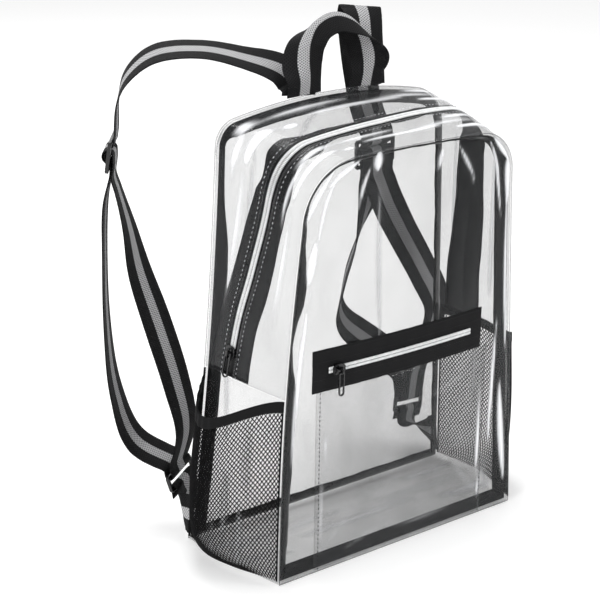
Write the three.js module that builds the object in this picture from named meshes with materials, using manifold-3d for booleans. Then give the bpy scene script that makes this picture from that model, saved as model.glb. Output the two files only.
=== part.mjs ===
// Clear stadium backpack, empty, standing on its base, in millimetres.
// Origin: middle of the base, on the ground. +Z up, the front panel faces -Y, +X is the right-hand side.
import * as THREE from 'three';
import { mergeVertices } from 'three/addons/utils/BufferGeometryUtils.js';
import Module from 'manifold-3d';

const wasm = await Module();
wasm.setup();

// Body: outside sizes
const FRONT_BASE_WIDTH = 284;
const BACK_BASE_WIDTH = 312;
const BASE_DEPTH = 119;
const TOP_DEPTH = 109;
const FRONT_HEIGHT = 379;
const BACK_HEIGHT = 405;
const FRONT_LEFT_SHOULDER = 121;
const FRONT_RIGHT_SHOULDER = 122;
const FRONT_LEFT_RADIUS = 56;
const FRONT_RIGHT_RADIUS = 42;
const FRONT_CROWN_ANGLE = 3;
const BACK_LEFT_SHOULDER = 133;
const BACK_RIGHT_SHOULDER = 134;
const BACK_LEFT_RADIUS = 24;
const BACK_RIGHT_RADIUS = 42;
const BACK_CROWN_ANGLE = 11;
const FRONT_SIDE_BOW = 3;
const BACK_SIDE_BOW = -2;
const WAIST_PINCH = 4;
const LOWER_SEAM_HEIGHT = 172;
const PANEL_SWELL = 6;
const GUSSET_SWELL = 2;

// Material thicknesses and the clearance between neighbours
const VINYL_WALL = 1.2;
const TAPE_THICKNESS = 1;
const WEBBING_THICKNESS = 1.5;
const GAP = 0.3;

// Binding tape on the inward seam allowances
const BINDING_WIDTH = 12;
const BINDING_THICKNESS = 1.6;

// Main zip
const ZIP_TAPE_WIDTH = 50;
const ZIP_SLOT_WIDTH = 13;
const ZIP_TEETH_WIDTH = 8;
const ZIP_TEETH_HEIGHT = 2.2;

// Front pocket
const POCKET_WIDTH = 204;
const POCKET_HEIGHT = 173;
const POCKET_FOOT = 3;
const POCKET_SHIFT = -2;
const POCKET_SWELL = 8;
const POCKET_TAPE_WIDTH = 199;
const POCKET_TAPE_HEIGHT = 39;
const POCKET_TAPE_SHIFT = -8.5;
const POCKET_TEETH_WIDTH = 6;
const POCKET_TEETH_LENGTH = 166;
const POCKET_SLIDER_INSET = 9;

// Zip sliders and pulls
const SLIDER_LENGTH = 13;
const SLIDER_WALL = 1.3;
const BRIDGE_WIDTH = 2;
const BRIDGE_BAR = 1.2;
const BRIDGE_HOLE_LENGTH = 6.4;
const BRIDGE_HOLE_HEIGHT = 2.6;
const PULL_WIRE = 1.3;
const PULL_LENGTH = 24;
const PULL_WIDTH = 7.4;
const PULL_EYE_BORE = 3.4;

// Side pockets of net
const NET_WALL = 1.4;
const NET_TOP = 161;
const NET_DIP = 20;
const NET_FOOT = 4;
const NET_BULGE = 42;
const NET_CELLS_ACROSS = 6;
const NET_CELLS_UP = 4;
const NET_BAR = 4.6;
const BAND_HEIGHT = 10;
const BAND_THICKNESS = 2;

// Webbing, handle and straps
const WEBBING_WIDTH = 38;
const HANDLE_SPAN = 71;
const HANDLE_SHIFT = -1;
const HANDLE_RISE = 71;
const STRAP_ANCHOR = 41;
const STRAP_REACH = 172;
const RIGHT_STRAP_REACH = 100;
const STRAP_PLANE_ANGLE = 39;
const LOWER_ANCHOR_HEIGHT = 25;

// Plastic slide and ring on each strap
const HARDWARE_BAR = 3.4;
const HARDWARE_SIDE = 3;
const HARDWARE_PLAY = 1.5;
const SLIDE_WINDOW = 9.5;
const RING_WINDOW = 10;

// Way of the zip round the arch: station along the arch (0 to 8), share of the depth from the front
const ZIP_WAY = [
  { station: 1.0, back: 0.69 },
  { station: 1.3, back: 0.615 },
  { station: 1.6, back: 0.49 },
  { station: 2.0, back: 0.37 },
  { station: 2.5, back: 0.36 },
  { station: 3.0, back: 0.37 },
  { station: 4.0, back: 0.4 },
  { station: 5.0, back: 0.5 },
  { station: 5.5, back: 0.51 },
  { station: 6.0, back: 0.55 },
  { station: 6.4, back: 0.6 },
  { station: 7.0, back: 0.67 },
];

// Binding round each seam: lie is degrees from the panel towards the gusset, full is the share of the tape's width
const FRONT_BINDING_LIE = [
  { station: 0.0, lie: 30, full: 1 },
  { station: 1.0, lie: 12, full: 1 },
  { station: 1.3, lie: 45, full: 0.8 },
  { station: 1.6, lie: 10, full: 1 },
  { station: 2.0, lie: 35, full: 0.8 },
  { station: 2.5, lie: 45, full: 0.7 },
  { station: 3.0, lie: 60, full: 0.8 },
  { station: 5.0, lie: 65, full: 0.8 },
  { station: 6.0, lie: 30, full: 1 },
  { station: 8.0, lie: 30, full: 1 },
];
const BACK_BINDING_LIE = [
  { station: 0.0, lie: 20, full: 1 },
  { station: 1.5, lie: 20, full: 1 },
  { station: 1.8, lie: 40, full: 0.5 },
  { station: 2.3, lie: 40, full: 0.5 },
  { station: 2.8, lie: 15, full: 1 },
  { station: 5.0, lie: 15, full: 1 },
  { station: 8.0, lie: 25, full: 1 },
];

// Net pocket: up is the share of the pocket's height, out the share of its bulge
const NET_SHAPE = [
  { up: 0.0, out: 0.06 },
  { up: 0.1, out: 0.55 },
  { up: 0.25, out: 0.86 },
  { up: 0.55, out: 1.0 },
  { up: 1.0, out: 0.96 },
  { up: 1.1, out: 0.94 },
];

// Handle: across is the share of the span, up the share of the rise, back the share of the webbing's width
const HANDLE_WAY = [
  { across: -0.5, up: 0.0, back: 0, turn: 90, fold: 0 },
  { across: -0.51, up: 0.2, back: -0.05, turn: 90, fold: 4 },
  { across: -0.53, up: 0.42, back: -0.02, turn: 62, fold: 18 },
  { across: -0.52, up: 0.68, back: -0.04, turn: 32, fold: 34 },
  { across: -0.39, up: 0.9, back: -0.05, turn: 8, fold: 50 },
  { across: -0.1, up: 1.0, back: -0.05, turn: 0, fold: 54 },
  { across: 0.2, up: 0.91, back: -0.05, turn: -6, fold: 50 },
  { across: 0.43, up: 0.68, back: -0.05, turn: -26, fold: 36 },
  { across: 0.52, up: 0.42, back: -0.03, turn: -58, fold: 20 },
  { across: 0.51, up: 0.2, back: -0.05, turn: -90, fold: 4 },
  { across: 0.5, up: 0.0, back: 0, turn: -90, fold: 0 },
];

// Straps: out and away are shares of the strap's reach, along its plane and square to it,
// up is the share of the back height, turn is the twist of the webbing in degrees
const LEFT_STRAP_TOP = [
  { out: 0.0, up: 1.0, away: 0.0, turn: -51 },
  { out: 0.0, up: 1.014, away: 0.004, turn: -51 },
  { out: 0.03, up: 1.032, away: 0.036, turn: -46 },
  { out: 0.1, up: 1.055, away: 0.045, turn: -28 },
  { out: 0.26, up: 1.083, away: 0.01, turn: -8 },
  { out: 0.5, up: 1.108, away: 0, turn: 0 },
  { out: 0.75, up: 1.092, away: 0, turn: 0 },
  { out: 0.885, up: 1.035, away: 0, turn: 0 },
  { out: 0.93, up: 0.98, away: 0, turn: 0 },
];
const LEFT_RUN_OUT = [
  { out: 1.0, up: 0.75, away: 0, turn: 2 },
  { out: 1.006, up: 0.637, away: -0.03, turn: 0 },
  { out: 0.994, up: 0.46, away: -0.07, turn: 2 },
  { out: 0.948, up: 0.315, away: -0.116, turn: 8 },
  { out: 0.84, up: 0.2, away: -0.163, turn: 16 },
];
const LEFT_RUN_IN = [
  { out: 0.565, up: 0.235, away: -0.17, turn: 26 },
  { out: 0.622, up: 0.346, away: -0.14, turn: 32 },
  { out: 0.727, up: 0.484, away: -0.105, turn: 32 },
  { out: 0.82, up: 0.598, away: -0.07, turn: 24 },
  { out: 0.878, up: 0.7, away: -0.035, turn: 12 },
];
const RIGHT_STRAP_TOP = [
  { out: 0.0, up: 1.0, away: 0.0, turn: -51 },
  { out: 0.009, up: 1.015, away: 0.006, turn: -51 },
  { out: 0.036, up: 1.062, away: 0.029, turn: -50 },
  { out: 0.075, up: 1.112, away: 0.061, turn: -46 },
  { out: 0.14, up: 1.15, away: 0.1, turn: -34 },
  { out: 0.225, up: 1.165, away: 0.15, turn: -4 },
  { out: 0.31, up: 1.148, away: 0.19, turn: 26 },
  { out: 0.386, up: 1.1, away: 0.205, turn: 44 },
  { out: 0.46, up: 1.012, away: 0.175, turn: 49 },
  { out: 0.504, up: 0.91, away: 0.09, turn: 50 },
];
const RIGHT_RUN_OUT = [
  { out: 0.6, up: 0.69, away: 0.05, turn: 74 },
  { out: 0.65, up: 0.575, away: 0.17, turn: 98 },
  { out: 0.67, up: 0.47, away: 0.28, turn: 100 },
  { out: 0.77, up: 0.365, away: 0.32, turn: 88 },
  { out: 0.95, up: 0.28, away: 0.0, turn: 76 },
  { out: 1.07, up: 0.215, away: -0.28, turn: 62 },
];
const RIGHT_RUN_IN = [
  { out: 1.055, up: 0.215, away: -0.42, turn: 62 },
  { out: 1.07, up: 0.31, away: -0.54, turn: 62 },
  { out: 1.02, up: 0.407, away: -0.6, turn: 62 },
  { out: 0.85, up: 0.5, away: -0.47, turn: 64 },
  { out: 0.64, up: 0.61, away: -0.28, turn: 62 },
  { out: 0.53, up: 0.69, away: -0.14, turn: 54 },
];

// Places of the slide and the ring on each strap, in the same shares
const LEFT_SLIDE = { out: 0.97, up: 0.862, away: 0, turn: 0, lean: 7 };
const LEFT_RING = { out: 0.605, up: 0.138, away: -0.198, turn: 23, lean: -18 };
const RIGHT_SLIDE = { out: 0.53, up: 0.812, away: 0.01, turn: 49, lean: 5 };
const RIGHT_RING = { out: 1.07, up: 0.14, away: -0.36, turn: 62, lean: -10 };

// Looks
const LOOKS = {
  vinyl: { color: '#dfe4e8', roughness: 0.08, metalness: 0 },
  binding: { color: '#17181a', roughness: 0.7, metalness: 0 },
  zipTape: { color: '#1b1b1d', roughness: 0.8, metalness: 0 },
  zipTeeth: { color: '#e9ebea', roughness: 0.35, metalness: 0 },
  pullMetal: { color: '#141416', roughness: 0.3, metalness: 0.4 },
  net: { color: '#151516', roughness: 0.8, metalness: 0 },
  webbing: { color: '#2b2c2e', roughness: 0.85, metalness: 0 },
  plastic: { color: '#111113', roughness: 0.3, metalness: 0 },
};

const RADIANS = Math.PI / 180;
const STATIONS_END = 8;
const lerp = THREE.MathUtils.lerp;

// Smooth curve through one column of a table
function follow(rows, key, column, at) {
  const last = rows.length - 1;
  if (at <= rows[0][key]) return rows[0][column];
  if (at >= rows[last][key]) return rows[last][column];
  const i = rows.findIndex((row, k) => k < last && at < rows[k + 1][key]);
  const slope = (k) => {
    const a = rows[Math.max(0, k - 1)];
    const b = rows[Math.min(last, k + 1)];
    return (b[column] - a[column]) / (b[key] - a[key]);
  };
  const span = rows[i + 1][key] - rows[i][key];
  const u = (at - rows[i][key]) / span;
  const from = rows[i][column];
  const to = rows[i + 1][column];
  const rise = slope(i) * span * u * (1 - u) * (1 - u);
  const fall = slope(i + 1) * span * u * u * (u - 1);
  return from * (1 + 2 * u) * (1 - u) * (1 - u) + to * u * u * (3 - 2 * u) + rise + fall;
}

// Seam outlines of the front and the back panel
const OUTLINES = {
  front: {
    height: FRONT_HEIGHT,
    crown: FRONT_CROWN_ANGLE * RADIANS,
    base: FRONT_BASE_WIDTH,
    bow: FRONT_SIDE_BOW,
    left: { shoulder: FRONT_LEFT_SHOULDER, radius: FRONT_LEFT_RADIUS },
    right: { shoulder: FRONT_RIGHT_SHOULDER, radius: FRONT_RIGHT_RADIUS },
  },
  back: {
    height: BACK_HEIGHT,
    crown: BACK_CROWN_ANGLE * RADIANS,
    base: BACK_BASE_WIDTH,
    bow: BACK_SIDE_BOW,
    left: { shoulder: BACK_LEFT_SHOULDER, radius: BACK_LEFT_RADIUS },
    right: { shoulder: BACK_RIGHT_SHOULDER, radius: BACK_RIGHT_RADIUS },
  },
};

function cornerOf(face, side) {
  const outline = OUTLINES[face];
  const { shoulder, radius } = outline[side];
  const run = shoulder - radius + radius * Math.sin(outline.crown);
  const rise = run * Math.tan(outline.crown) / 2;
  const centreHeight = outline.height - rise - radius * Math.cos(outline.crown);
  return { shoulder, radius, run, rise, centreHeight };
}

// Half width of a panel at a height
function halfWidth(face, side, z) {
  const corner = cornerOf(face, side);
  if (z <= corner.centreHeight) {
    const share = z / corner.centreHeight;
    const { base, bow } = OUTLINES[face];
    return lerp(base / 2, corner.shoulder, share) + bow * Math.sin(Math.PI * share);
  }
  const above = Math.min(z - corner.centreHeight, corner.radius);
  const reach = Math.sqrt(corner.radius ** 2 - above ** 2);
  return Math.max(corner.run, corner.shoulder - corner.radius + reach);
}

// Half of the arch: 0 to 1 up to the lower seam, to 2 up to the corner, to 3 round it, to 4 the top's middle
function halfArch(face, side, q) {
  const corner = cornerOf(face, side);
  const outline = OUTLINES[face];
  if (q <= 2) {
    const z = q <= 1 ? q * LOWER_SEAM_HEIGHT : lerp(LOWER_SEAM_HEIGHT, corner.centreHeight, q - 1);
    return [halfWidth(face, side, z), z];
  }
  if (q <= 3) {
    const angle = (q - 2) * (Math.PI / 2 - outline.crown);
    const x = corner.shoulder - corner.radius + corner.radius * Math.cos(angle);
    return [x, corner.centreHeight + corner.radius * Math.sin(angle)];
  }
  const u = q - 3;
  const x = corner.run * (1 - u) * (1 - u) + corner.run * u * (1 - u);
  return [x, outline.height - corner.rise * (1 - u) * (1 - u)];
}

// Depth of each panel's plane at a height
function planeDepth(face, z) {
  const share = z / OUTLINES[face].height;
  const pinch = WAIST_PINCH * Math.sin(Math.PI * THREE.MathUtils.clamp(share, 0, 1));
  const half = lerp(BASE_DEPTH, TOP_DEPTH, share) / 2 - pinch;
  return face === 'front' ? -half : half;
}

// Point of a panel's seam at a station, 0 at the bottom left, 8 at the bottom right
function seam(face, station) {
  const left = station <= STATIONS_END / 2;
  const [x, z] = halfArch(face, left ? 'left' : 'right', left ? station : STATIONS_END - station);
  return new THREE.Vector3(left ? -x : x, planeDepth(face, z), z);
}

function gussetDepth(station) {
  return seam('front', station).distanceTo(seam('back', station));
}

// Gusset surface: back is the share of its depth, sunk is how far inside the outer face
function gusset(station, back, sunk) {
  const step = 0.02;
  const at = (s) => seam('front', s).lerp(seam('back', s), back);
  const before = at(Math.max(0, station - step));
  const after = at(Math.min(STATIONS_END, station + step));
  const along = after.sub(before).normalize();
  const depth = seam('back', station).sub(seam('front', station)).normalize();
  const outward = depth.cross(along).negate().normalize();
  const swell = GUSSET_SWELL * Math.sin(Math.PI * THREE.MathUtils.clamp(back, 0, 1));
  return at(station).addScaledVector(outward, swell - sunk);
}

// How far the front or back panel swells out of its plane
function panelSwell(face, x, z) {
  const half = halfWidth(face, x < 0 ? 'left' : 'right', z);
  const across = Math.max(0, 1 - (x / half) ** 2);
  const up = Math.sin(Math.PI * THREE.MathUtils.clamp(z / OUTLINES[face].height, 0, 1));
  const share = face === 'front' ? 1 : 0.5;
  return PANEL_SWELL * share * across * up;
}

// Point on the front panel's outer face, lifted off it
function onFront(x, z, lift) {
  return new THREE.Vector3(x, planeDepth('front', z) - panelSwell('front', x, z) - lift, z);
}

// Closed body from a grid of outer and inner points, with its rim closed
function wall(countU, countV, outer, inner, open = () => false) {
  const points = [];
  const index = (i, j, layer) => ((i * (countV + 1) + j) * 2 + layer);
  for (let i = 0; i <= countU; i += 1) {
    for (let j = 0; j <= countV; j += 1) {
      points.push(outer(i / countU, j / countV), inner(i / countU, j / countV));
    }
  }
  const faces = [];
  const quad = (a, b, c, d) => faces.push([a, b, c], [a, c, d]);
  const solid = (i, j) => i >= 0 && j >= 0 && i < countU && j < countV && !open(i, j);
  for (let i = 0; i < countU; i += 1) {
    for (let j = 0; j < countV; j += 1) {
      if (!solid(i, j)) continue;
      quad(index(i, j, 0), index(i + 1, j, 0), index(i + 1, j + 1, 0), index(i, j + 1, 0));
      quad(index(i, j, 1), index(i, j + 1, 1), index(i + 1, j + 1, 1), index(i + 1, j, 1));
      if (!solid(i, j - 1)) quad(index(i, j, 0), index(i, j, 1), index(i + 1, j, 1), index(i + 1, j, 0));
      if (!solid(i, j + 1)) {
        quad(index(i, j + 1, 0), index(i + 1, j + 1, 0), index(i + 1, j + 1, 1), index(i, j + 1, 1));
      }
      if (!solid(i - 1, j)) quad(index(i, j, 0), index(i, j + 1, 0), index(i, j + 1, 1), index(i, j, 1));
      if (!solid(i + 1, j)) {
        quad(index(i + 1, j, 0), index(i + 1, j, 1), index(i + 1, j + 1, 1), index(i + 1, j + 1, 0));
      }
    }
  }
  return closedGeometry(points, faces);
}

// Geometry from points and faces, turned outwards if it was made inside out
function closedGeometry(points, faces) {
  let volume = 0;
  for (const [a, b, c] of faces) {
    volume += points[a].dot(points[b].clone().cross(points[c]));
  }
  const turned = volume < 0 ? faces.map(([a, b, c]) => [a, c, b]) : faces;
  const geometry = new THREE.BufferGeometry();
  geometry.setAttribute('position', new THREE.Float32BufferAttribute(points.flatMap((p) => p.toArray()), 3));
  geometry.setIndex(turned.flat());
  geometry.computeVertexNormals();
  return geometry;
}

// Body swept through sections of equal point count, open with caps or joined into a ring
function loft(sections, ring) {
  const count = sections[0].length;
  const points = sections.flat();
  const faces = [];
  const rows = sections.length;
  for (let i = 0; i < (ring ? rows : rows - 1); i += 1) {
    const next = (i + 1) % rows;
    for (let j = 0; j < count; j += 1) {
      const k = (j + 1) % count;
      faces.push([i * count + j, i * count + k, next * count + k], [i * count + j, next * count + k, next * count + j]);
    }
  }
  if (!ring) {
    for (let j = 1; j < count - 1; j += 1) {
      const end = (rows - 1) * count;
      faces.push([0, j + 1, j], [end, end + j, end + j + 1]);
    }
  }
  return closedGeometry(points, faces);
}

// Stations of a stretch of the arch, closer together round the corners
const STATION_STEPS = [
  { until: 1, step: 1 / 4 },
  { until: 2, step: 1 / 5 },
  { until: 3, step: 1 / 5 },
  { until: 5, step: 1 / 3 },
  { until: 6, step: 1 / 5 },
  { until: 7, step: 1 / 5 },
  { until: 8, step: 1 / 4 },
];
function archStations(from, to) {
  const list = [];
  let at = 0;
  for (const { until, step } of STATION_STEPS) {
    while (at < until - step / 2) {
      if (at > from + step / 4 && at < to - step / 4) list.push(at);
      at += step;
    }
    at = until;
  }
  return [from, ...list, to];
}

// Panels
function panel(face) {
  const middle = 2.5;
  const countAcross = 12;
  const countUp = 12;
  const base = (p) => seam(face, 0).lerp(seam(face, STATIONS_END), p);
  const top = (p) => seam(face, lerp(middle, STATIONS_END - middle, p));
  const left = (q) => seam(face, q * middle);
  const right = (q) => seam(face, STATIONS_END - q * middle);
  const patch = (p, q) => {
    const sum = base(p).multiplyScalar(1 - q).addScaledVector(top(p), q);
    sum.addScaledVector(left(q), 1 - p).addScaledVector(right(q), p);
    sum.addScaledVector(base(0), -(1 - p) * (1 - q)).addScaledVector(base(1), -p * (1 - q));
    sum.addScaledVector(top(0), -(1 - p) * q).addScaledVector(top(1), -p * q);
    return sum;
  };
  const way = face === 'front' ? -1 : 1;
  const swollen = (p, q, sunk) => {
    const point = patch(p, q);
    const edge = p === 0 || p === 1 || q === 0 || q === 1;
    const swell = edge ? 0 : panelSwell(face, point.x, point.z);
    point.y = planeDepth(face, point.z) + way * (swell - sunk);
    return point;
  };
  return wall(countAcross, countUp, (p, q) => swollen(p, q, 0), (p, q) => swollen(p, q, VINYL_WALL));
}

// Clearance of a gusset edge from the panel that closes it
const PANEL_ROOM = VINYL_WALL + 2 * GAP;
// A hair off the ends of a stretch of gusset, in stations, for the gap at a cross seam
const SEAM_STEP = GAP / LOWER_SEAM_HEIGHT;

function zipShare(station) {
  return follow(ZIP_WAY, 'station', 'back', station);
}

// Strip of gusset between two edges given in mm from the front seam
function gussetStrip(from, to, edges, sunkOuter, sunkInner, across) {
  const stations = archStations(from, to);
  const at = (i, v, sunk) => {
    const station = stations[i];
    const depth = gussetDepth(station);
    const [near, far] = edges(station, depth);
    return gusset(station, lerp(near, far, v) / depth, sunk);
  };
  const last = stations.length - 1;
  return wall(
    last,
    across,
    (u, v) => at(Math.round(u * last), v, sunkOuter),
    (u, v) => at(Math.round(u * last), v, sunkInner),
  );
}

const UPPER_FROM = 1 + SEAM_STEP;
const UPPER_TO = 7 - SEAM_STEP;

function gussetFrontStrip() {
  const edges = (station, depth) => [PANEL_ROOM, zipShare(station) * depth - ZIP_SLOT_WIDTH / 2];
  return gussetStrip(UPPER_FROM, UPPER_TO, edges, 0, VINYL_WALL, 2);
}

function gussetBackStrip() {
  const edges = (station, depth) => [zipShare(station) * depth + ZIP_SLOT_WIDTH / 2, depth - PANEL_ROOM];
  return gussetStrip(UPPER_FROM, UPPER_TO, edges, 0, VINYL_WALL, 2);
}

const TAPE_SUNK = VINYL_WALL + GAP;

function mainZipTape() {
  const edges = (station, depth) => {
    const middle = zipShare(station) * depth;
    return [middle - ZIP_TAPE_WIDTH / 2, middle + ZIP_TAPE_WIDTH / 2];
  };
  return gussetStrip(UPPER_FROM, UPPER_TO, edges, TAPE_SUNK, TAPE_SUNK + TAPE_THICKNESS, 2);
}

// Height of the teeth's crest over the gusset's outer face
const TEETH_CREST = ZIP_TEETH_HEIGHT + GAP - TAPE_SUNK;
const TEETH_FROM = 1.12;
const TEETH_TO = 6.9;

function mainZipTeeth() {
  const edges = (station, depth) => {
    const middle = zipShare(station) * depth;
    return [middle - ZIP_TEETH_WIDTH / 2, middle + ZIP_TEETH_WIDTH / 2];
  };
  return gussetStrip(TEETH_FROM, TEETH_TO, edges, -TEETH_CREST, TAPE_SUNK - GAP, 1);
}

// Lower gusset: left side, base and right side in one U
function lowerGusset() {
  const stations = [1 - SEAM_STEP, 0.75, 0.5, 0.25];
  const baseSteps = 6;
  const across = 4;
  const rows = [];
  const inset = (point, x, z) => point.clone().add(new THREE.Vector3(x, 0, z));
  const row = (outerAt, shiftX, shiftZ) => {
    const cells = [];
    for (let j = 0; j <= across; j += 1) {
      const outer = outerAt(j / across);
      cells.push([outer, inset(outer, shiftX, shiftZ)]);
    }
    rows.push(cells);
  };
  const sideAt = (station) => (v) => {
    const depth = gussetDepth(station);
    return gusset(station, lerp(PANEL_ROOM, depth - PANEL_ROOM, v) / depth, 0);
  };
  const baseAt = (share) => (v) => {
    const y = lerp(-BASE_DEPTH / 2 + PANEL_ROOM, BASE_DEPTH / 2 - PANEL_ROOM, v);
    const width = lerp(FRONT_BASE_WIDTH, BACK_BASE_WIDTH, y / BASE_DEPTH + 0.5);
    return new THREE.Vector3((share - 0.5) * width, y, 0);
  };
  for (const station of stations) row(sideAt(station), VINYL_WALL, 0);
  row(baseAt(0), VINYL_WALL, VINYL_WALL);
  for (let i = 1; i < baseSteps; i += 1) row(baseAt(i / baseSteps), 0, VINYL_WALL);
  row(baseAt(1), -VINYL_WALL, VINYL_WALL);
  for (const station of [...stations].reverse()) row(sideAt(STATIONS_END - station), -VINYL_WALL, 0);
  const last = rows.length - 1;
  const pick = (u, v, layer) => rows[Math.round(u * last)][Math.round(v * across)][layer];
  return wall(last, across, (u, v) => pick(u, v, 0), (u, v) => pick(u, v, 1));
}

// Binding: a closed ribbon inside the seam all the way round
function binding(face, lies) {
  const way = face === 'front' ? 1 : -1;
  const inset = VINYL_WALL + GAP + BINDING_THICKNESS / 2 + GAP;
  const marks = archStations(0, STATIONS_END).map((station) => ({ station, point: seam(face, station) }));
  const baseSteps = 6;
  for (let i = 1; i < baseSteps; i += 1) {
    const point = seam(face, STATIONS_END).lerp(seam(face, 0), i / baseSteps);
    marks.push({ station: i < baseSteps / 2 ? STATIONS_END : 0, point });
  }
  const flat = (v) => new THREE.Vector2(v.x, v.z);
  const inwards = (a, b) => {
    const along = flat(b).sub(flat(a)).normalize();
    return new THREE.Vector2(along.y, -along.x);
  };
  const sections = marks.map(({ station, point }, i) => {
    const before = marks[(i + marks.length - 1) % marks.length].point;
    const after = marks[(i + 1) % marks.length].point;
    const a = inwards(before, point);
    const b = inwards(point, after);
    const miter = a.clone().add(b).divideScalar(1 + a.dot(b));
    const lie = follow(lies, 'station', 'lie', station) * RADIANS;
    const width = BINDING_WIDTH * follow(lies, 'station', 'full', station);
    const place = (along, out) => {
      const inward = inset + along * Math.cos(lie) - out * Math.sin(lie);
      const deep = inset + along * Math.sin(lie) + out * Math.cos(lie);
      return new THREE.Vector3(point.x + miter.x * inward, point.y + way * deep, point.z + miter.y * inward);
    };
    const half = BINDING_THICKNESS / 2;
    return [place(0, -half), place(width, -half), place(width, half), place(0, half)];
  });
  return loft(sections, true);
}

// Front pocket
const POCKET_LEFT = POCKET_SHIFT - POCKET_WIDTH / 2;
const TAPE_BOTTOM = POCKET_HEIGHT + GAP;
const TAPE_MIDDLE = TAPE_BOTTOM + POCKET_TAPE_HEIGHT / 2;

function pocketPanel() {
  const at = (p, q, sunk) => {
    const x = POCKET_LEFT + POCKET_WIDTH * p;
    const z = lerp(POCKET_FOOT, POCKET_HEIGHT, q);
    const swell = POCKET_SWELL * Math.sin(Math.PI * p) * Math.sin(Math.PI * q);
    return onFront(x, z, GAP + VINYL_WALL + swell - sunk);
  };
  return wall(8, 8, (p, q) => at(p, q, 0), (p, q) => at(p, q, VINYL_WALL));
}

const TAPE_LEFT = POCKET_TAPE_SHIFT - POCKET_TAPE_WIDTH / 2;
const TAPE_FACE = GAP + TAPE_THICKNESS;

// Strip on the front panel between two heights, from one lift to another
function frontStrip(left, width, bottom, height, under, over, columns) {
  const at = (p, q, lift) => onFront(left + width * p, bottom + height * q, lift);
  return wall(columns, 1, (p, q) => at(p, q, over), (p, q) => at(p, q, under));
}

const TEETH_FOOT = TAPE_FACE + GAP;
const TEETH_FACE = TEETH_FOOT + ZIP_TEETH_HEIGHT;
const TEETH_LEFT = POCKET_TAPE_SHIFT - POCKET_TEETH_LENGTH / 2;

// Manifold solids from geometry and back
function solidOf(geometry) {
  const bare = geometry.clone();
  for (const name of ['normal', 'uv']) bare.deleteAttribute(name);
  const merged = mergeVertices(bare, 1e-4);
  const vertProperties = new Float32Array(merged.attributes.position.array);
  const triVerts = new Uint32Array(merged.index.array);
  return new wasm.Manifold(new wasm.Mesh({ numProp: 3, vertProperties, triVerts }));
}

function geometryOf(solid) {
  const { vertProperties, triVerts } = solid.getMesh();
  const geometry = new THREE.BufferGeometry();
  geometry.setAttribute('position', new THREE.BufferAttribute(new Float32Array(vertProperties), 3));
  geometry.setIndex(Array.from(triVerts));
  geometry.computeVertexNormals();
  return geometry;
}

function block(sizeX, sizeY, sizeZ, x, y, z) {
  return solidOf(new THREE.BoxGeometry(sizeX, sizeY, sizeZ).translate(x, y, z));
}

// Slider in its own frame: x along the zip, z out of the face, teeth from z = 0 up to their height
function slider(teethWidth, teethHeight) {
  const inner = teethWidth + 2 * GAP;
  const outer = inner + 2 * SLIDER_WALL;
  const topFoot = teethHeight + GAP;
  const outline = new THREE.Shape();
  const nose = outer / 4;
  outline.moveTo(-SLIDER_LENGTH / 2 + nose, -outer / 2);
  outline.lineTo(SLIDER_LENGTH / 2 - nose, -outer / 2);
  outline.lineTo(SLIDER_LENGTH / 2, -outer / 2 + nose);
  outline.lineTo(SLIDER_LENGTH / 2, outer / 2 - nose);
  outline.lineTo(SLIDER_LENGTH / 2 - nose, outer / 2);
  outline.lineTo(-SLIDER_LENGTH / 2 + nose, outer / 2);
  outline.lineTo(-SLIDER_LENGTH / 2, outer / 2 - nose);
  outline.lineTo(-SLIDER_LENGTH / 2, -outer / 2 + nose);
  const plate = new THREE.ExtrudeGeometry(outline, { depth: topFoot + SLIDER_WALL, bevelEnabled: false });
  const channel = block(2 * SLIDER_LENGTH, inner, 2 * topFoot, 0, 0, 0);
  const bridgeLength = BRIDGE_HOLE_LENGTH + 2 * BRIDGE_BAR;
  const bridgeTop = BRIDGE_HOLE_HEIGHT + BRIDGE_BAR;
  const foot = topFoot + SLIDER_WALL;
  const bridge = new THREE.Shape();
  bridge.moveTo(-bridgeLength / 2, -SLIDER_WALL / 2);
  bridge.lineTo(bridgeLength / 2, -SLIDER_WALL / 2);
  bridge.lineTo(bridgeLength / 2, bridgeTop * 0.7);
  bridge.lineTo(bridgeLength * 0.3, bridgeTop);
  bridge.lineTo(-bridgeLength * 0.3, bridgeTop);
  bridge.lineTo(-bridgeLength / 2, bridgeTop * 0.7);
  const arch = new THREE.ExtrudeGeometry(bridge, { depth: BRIDGE_WIDTH, bevelEnabled: false })
    .translate(0, 0, -BRIDGE_WIDTH / 2)
    .rotateX(Math.PI / 2)
    .translate(0, 0, foot);
  const hole = block(BRIDGE_HOLE_LENGTH, 2 * BRIDGE_WIDTH, BRIDGE_HOLE_HEIGHT, 0, 0, foot + BRIDGE_HOLE_HEIGHT / 2);
  return geometryOf(solidOf(plate).subtract(channel).add(solidOf(arch)).subtract(hole));
}

// Height of the bridge's bar and of its hole over the slider's foot
function bridgeBarHeight(teethHeight) {
  return teethHeight + GAP + SLIDER_WALL + BRIDGE_HOLE_HEIGHT + BRIDGE_BAR / 2;
}
function bridgeHoleHeight(teethHeight) {
  return teethHeight + GAP + SLIDER_WALL + BRIDGE_HOLE_HEIGHT / 2;
}

// Rounded link outline with a long hole, hanging from its own origin down -y
function linkShape(length, width, wire, above) {
  const r = width / 2;
  const shape = new THREE.Shape();
  shape.moveTo(-r, above);
  shape.lineTo(-r, -length + r);
  shape.absarc(0, -length + r, r, Math.PI, 2 * Math.PI, false);
  shape.lineTo(r, above);
  const hole = new THREE.Path();
  const inner = r - wire;
  hole.moveTo(-inner, above - wire);
  hole.lineTo(inner, above - wire);
  hole.lineTo(inner, -length + r);
  hole.absarc(0, -length + r, inner, 0, -Math.PI, true);
  shape.holes.push(hole);
  return shape;
}

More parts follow.
